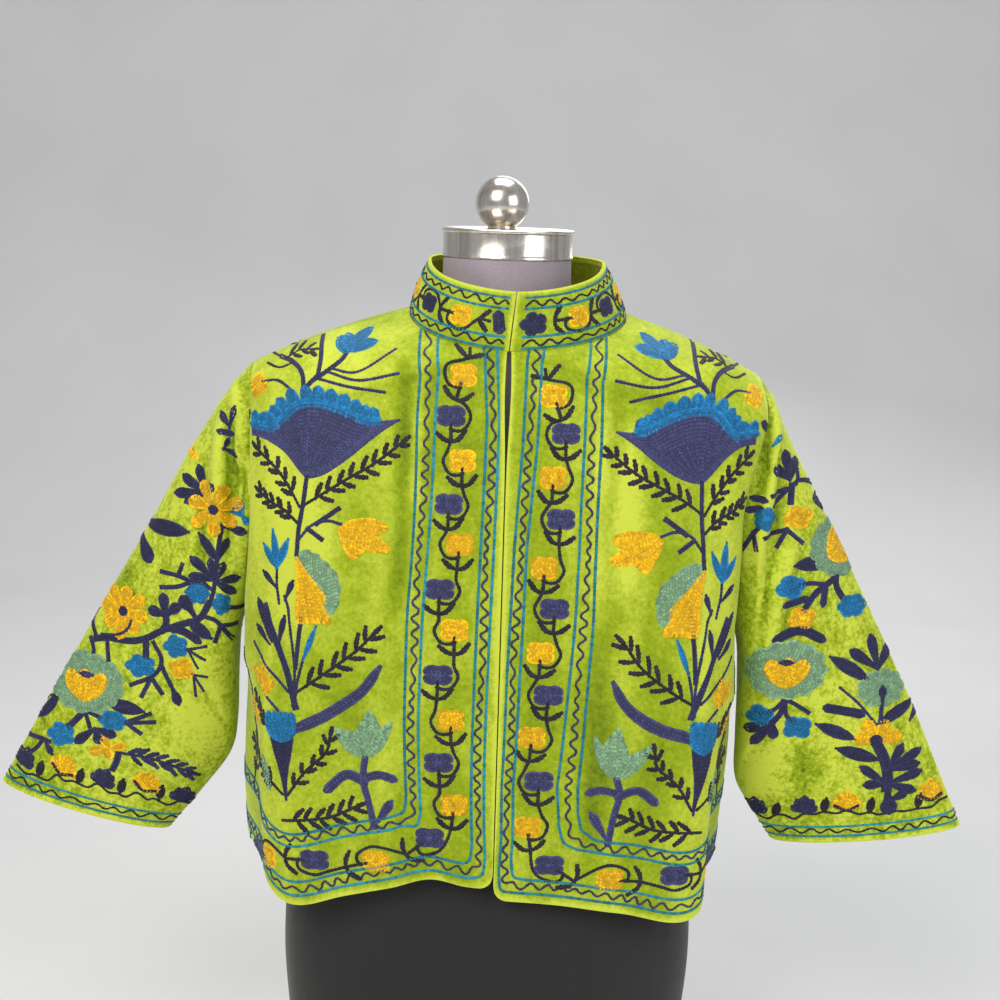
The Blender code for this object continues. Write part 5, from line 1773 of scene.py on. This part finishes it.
def sleeve(cloths, name, pattern):
    """The same pattern on the front and the back of a sleeve."""
    return [patterned(cloths[name + face], pattern) for face in ("_front", "_back")]


def draw_everything(cloths):
    """What is embroidered on each node's cloths."""
    return {
        "front_right": front(cloths, "front_right"),
        "front_left": front(cloths, "front_left", left_front_step),
        "back": back_half(cloths["back_right"], -1) + back_half(cloths["back_left"], 1),
        "collar": collar_drawing(cloths["collar"]),
        "sleeve_right": sleeve(cloths, "sleeve_right", RIGHT_SLEEVE),
        "sleeve_left": sleeve(cloths, "sleeve_left", LEFT_SLEEVE),
    }


def one_stitch():
    """A single loop of chain stitch, one unit long and one wide: two strands and a groove."""
    sections = (
        (-0.60, ((-0.34, 0.02), (0.34, 0.02))),
        (0.08, ((-0.50, -0.15), (-0.30, 0.98), (0.0, 0.40), (0.30, 0.98), (0.50, -0.15))),
        (0.58, ((-0.36, -0.12), (0.0, 0.46), (0.36, -0.12))),
    )
    corners = [(x, y, z) for x, row in sections for y, z in row]
    foot = ((0, 2, 3), (0, 3, 4), (0, 4, 1), (1, 4, 5), (1, 5, 6))
    head = ((2, 7, 3), (3, 7, 8), (3, 8, 4), (4, 8, 5), (5, 8, 9), (5, 9, 6))
    mesh = bpy.data.meshes.new("one stitch")
    mesh.from_pydata(corners, [], foot + head)
    mesh.shade_smooth()
    return link("one stitch", mesh)


# The named inputs of the stitching and their kinds
INPUTS = {"Geometry": "Geometry", "Stitch": "Object", "Seed": "Int"}
INPUTS.update(dict.fromkeys(("Length", "Width", "Height"), "Float"))


def stitching_tree(surface):
    """Geometry Nodes that work chain stitch along every line of a mesh."""
    tree = bpy.data.node_groups.new("chain stitching", "GeometryNodeTree")
    for name, kind in INPUTS.items():
        tree.interface.new_socket(name, in_out="INPUT", socket_type="NodeSocket" + kind)
    tree.interface.new_socket("Geometry", in_out="OUTPUT", socket_type="NodeSocketGeometry")
    nodes = Nodes(tree)
    given = tree.nodes.new("NodeGroupInput").outputs
    # Whole stitches along each line
    curve = nodes.add("GeometryNodeMeshToCurve", {"Mesh": given["Geometry"]})
    whole = nodes.add("GeometryNodeSplineLength", give="Length")
    count = nodes.math("ROUND", nodes.math("DIVIDE", whole, given["Length"]))
    each = nodes.math("DIVIDE", whole, nodes.math("MAXIMUM", count, 1.0))
    spacing = nodes.math("MULTIPLY", each, 0.9995)
    points = nodes.add("GeometryNodeResampleCurve", {"Curve": curve, "Length": spacing}, mode="LENGTH")
    # Each stitch stands up from the cloth and lies along its line
    kept, align = "GeometryNodeInputNamedAttribute", "FunctionNodeAlignRotationToVector"
    out = nodes.add(kept, {"Name": "out"}, "Attribute", data_type="FLOAT_VECTOR")
    upright = nodes.add(align, {"Vector": out}, axis="Z")
    along = nodes.add("GeometryNodeInputTangent")
    turned = nodes.add(align, {"Rotation": upright, "Vector": along}, axis="X", pivot_axis="Z")
    # Its size, a little uneven
    limits = {2: 0.90, 3: 1.10, "Seed": given["Seed"]}
    uneven = nodes.add("FunctionNodeRandomValue", limits, 1, data_type="FLOAT")
    wide = nodes.add(kept, {"Name": "wide"}, "Attribute", data_type="FLOAT")
    width = nodes.math("MULTIPLY", given["Width"], wide)
    size = nodes.add("ShaderNodeCombineXYZ", {"X": spacing, "Y": width, "Z": given["Height"]})
    varied = nodes.add("ShaderNodeVectorMath", {0: size, "Scale": uneven}, operation="SCALE")
    # The loops, made real and given their thread
    values = {"Object": given["Stitch"], "As Instance": True}
    loop = nodes.add("GeometryNodeObjectInfo", values, "Geometry")
    values = {"Points": points, "Instance": loop, "Rotation": turned, "Scale": varied}
    placed = nodes.add("GeometryNodeInstanceOnPoints", values)
    real = nodes.add("GeometryNodeRealizeInstances", {"Geometry": placed})
    finished = nodes.add("GeometryNodeSetMaterial", {"Geometry": real, "Material": surface})
    nodes.put(tree.nodes.new("NodeGroupOutput").inputs["Geometry"], finished)
    return tree


def coloured(mesh, colours):
    """Keeps the thread's colours on a mesh, one for each of its places."""
    thread = mesh.attributes.new("thread", "FLOAT_COLOR", "POINT")
    thread.data.foreach_set("color", np.ravel(colours))


def stitched(name, drawings, tree, loop, surface, seed):
    """Every row of the drawings laid on its cloth and worked in chain stitch, as one piece."""
    places, outs, colours, widths, edges = [], [], [], [], []
    shade = random.Random(seed)
    for drawing in drawings:
        for drawn, colour, over, wide in drawing.rows:
            drawn = evenly(drawn, 1.6)
            lift = np.full(len(drawn), (0.1 + over) * MM)
            laid, normals, on_cloth = drawing.cloth.lay(drawn * MM, lift)
            both = np.flatnonzero(on_cloth[:-1] & on_cloth[1:]) + len(places)
            edges += [(int(corner), int(corner) + 1) for corner in both]
            places += laid.tolist()
            outs += normals.tolist()
            # Each row a little lighter or darker, and each stitch more so: partly the thread's own uneven
            # tone, partly painted glints and sheen on its loops
            tone = shade.uniform(0.80, 1.20)
            for _ in laid:
                own = tone * shade.uniform(0.64, 1.38)
                colours.append((*(own * part for part in colour), 1.0))
            shares = np.linspace(0, 1, len(laid)), np.linspace(0, 1, np.size(wide))
            widths += np.interp(*shares, np.atleast_1d(wide)).tolist()
    lines = bpy.data.meshes.new(name + " lines")
    lines.from_pydata(places, edges, [])
    lines.attributes.new("out", "FLOAT_VECTOR", "POINT").data.foreach_set("vector", np.ravel(outs))
    coloured(lines, colours)
    lines.attributes.new("wide", "FLOAT", "POINT").data.foreach_set("value", widths)
    carrier = link(name + " lines", lines)
    modifier = carrier.modifiers.new("chain stitch", "NODES")
    modifier.node_group = tree
    values = {"Stitch": loop, "Length": STITCH * MM, "Width": ROW_WIDTH * MM}
    values.update(Height=THREAD_HEIGHT * MM, Seed=seed)
    for socket in tree.interface.items_tree:
        if socket.in_out == "INPUT" and socket.name in values:
            modifier[socket.identifier] = values[socket.name]
    graph = bpy.context.evaluated_depsgraph_get()
    mesh = bpy.data.meshes.new_from_object(carrier.evaluated_get(graph), depsgraph=graph)
    bpy.data.objects.remove(carrier)
    mesh.name = name
    return new_piece(name, mesh, surface)


def grounded(name, drawings, surface):
    """The ground under the fills: thin crowned patches whose edges go down into the pile."""
    places, faces, colours = [], [], []
    for drawing in drawings:
        middle_normal = drawing.cloth.normals.reshape(-1, 3).mean(axis=0)
        for lattice, colour, over in drawing.grounds:
            rows, columns = lattice.shape[:2]
            lift = np.full((rows, columns), -0.10)
            lift[1:-1, 1:-1] = 0.46
            lift = (lift.ravel() + over) * MM
            laid, _, on_cloth = drawing.cloth.lay(lattice.reshape(-1, 2) * MM, lift)
            first = len(places)
            places += laid.tolist()
            # The colours carry the painted shade of the grooves between rows
            colours += [(*colour, 1.0)] * len(laid)
            turn = np.cross(laid[columns] - laid[0], laid[1] - laid[0]) @ middle_normal
            for row in range(rows - 1):
                for a in range(row * columns, row * columns + columns - 1):
                    ring = (a, a + 1, a + columns + 1, a + columns)
                    if on_cloth[list(ring)].sum() > 2:
                        ring = [first + corner for corner in ring]
                        faces.append(ring if turn < 0 else ring[::-1])
    mesh = bpy.data.meshes.new(name)
    mesh.from_pydata(places, [], faces)
    coloured(mesh, colours)
    mesh.update()
    loose = bmesh.new()
    loose.from_mesh(mesh)
    alone = [corner for corner in loose.verts if not corner.link_faces]
    bmesh.ops.delete(loose, geom=alone, context="VERTS")
    loose.to_mesh(mesh)
    loose.free()
    mesh.shade_smooth()
    return new_piece(name, mesh, surface)


def embroider(drawings_of):
    """Works every drawing, as one piece of stitches and one of ground for each node."""
    surface = thread_material()
    tree = stitching_tree(surface)
    loop = one_stitch()
    for seed, (node, drawings) in enumerate(drawings_of.items()):
        dress(stitched("stitches_" + node, drawings, tree, loop, surface, seed), "velvet")
        dress(grounded("ground_" + node, drawings, surface), "velvet")
    bpy.data.objects.remove(loop)


cloths = make_cloths()
jacket(cloths)
dress(form_body(jersey_material()), "jersey", "form_torso")
chrome = chrome_material()
dress(turned_piece("neck_cap", CAP, 0.0, chrome), "chrome", "form_cap")
dress(turned_piece("cap_ball", ball_profile(), BALL_MIDDLE_X, chrome), "chrome", "form_finial")
embroider(draw_everything(cloths))
camera()
studio()
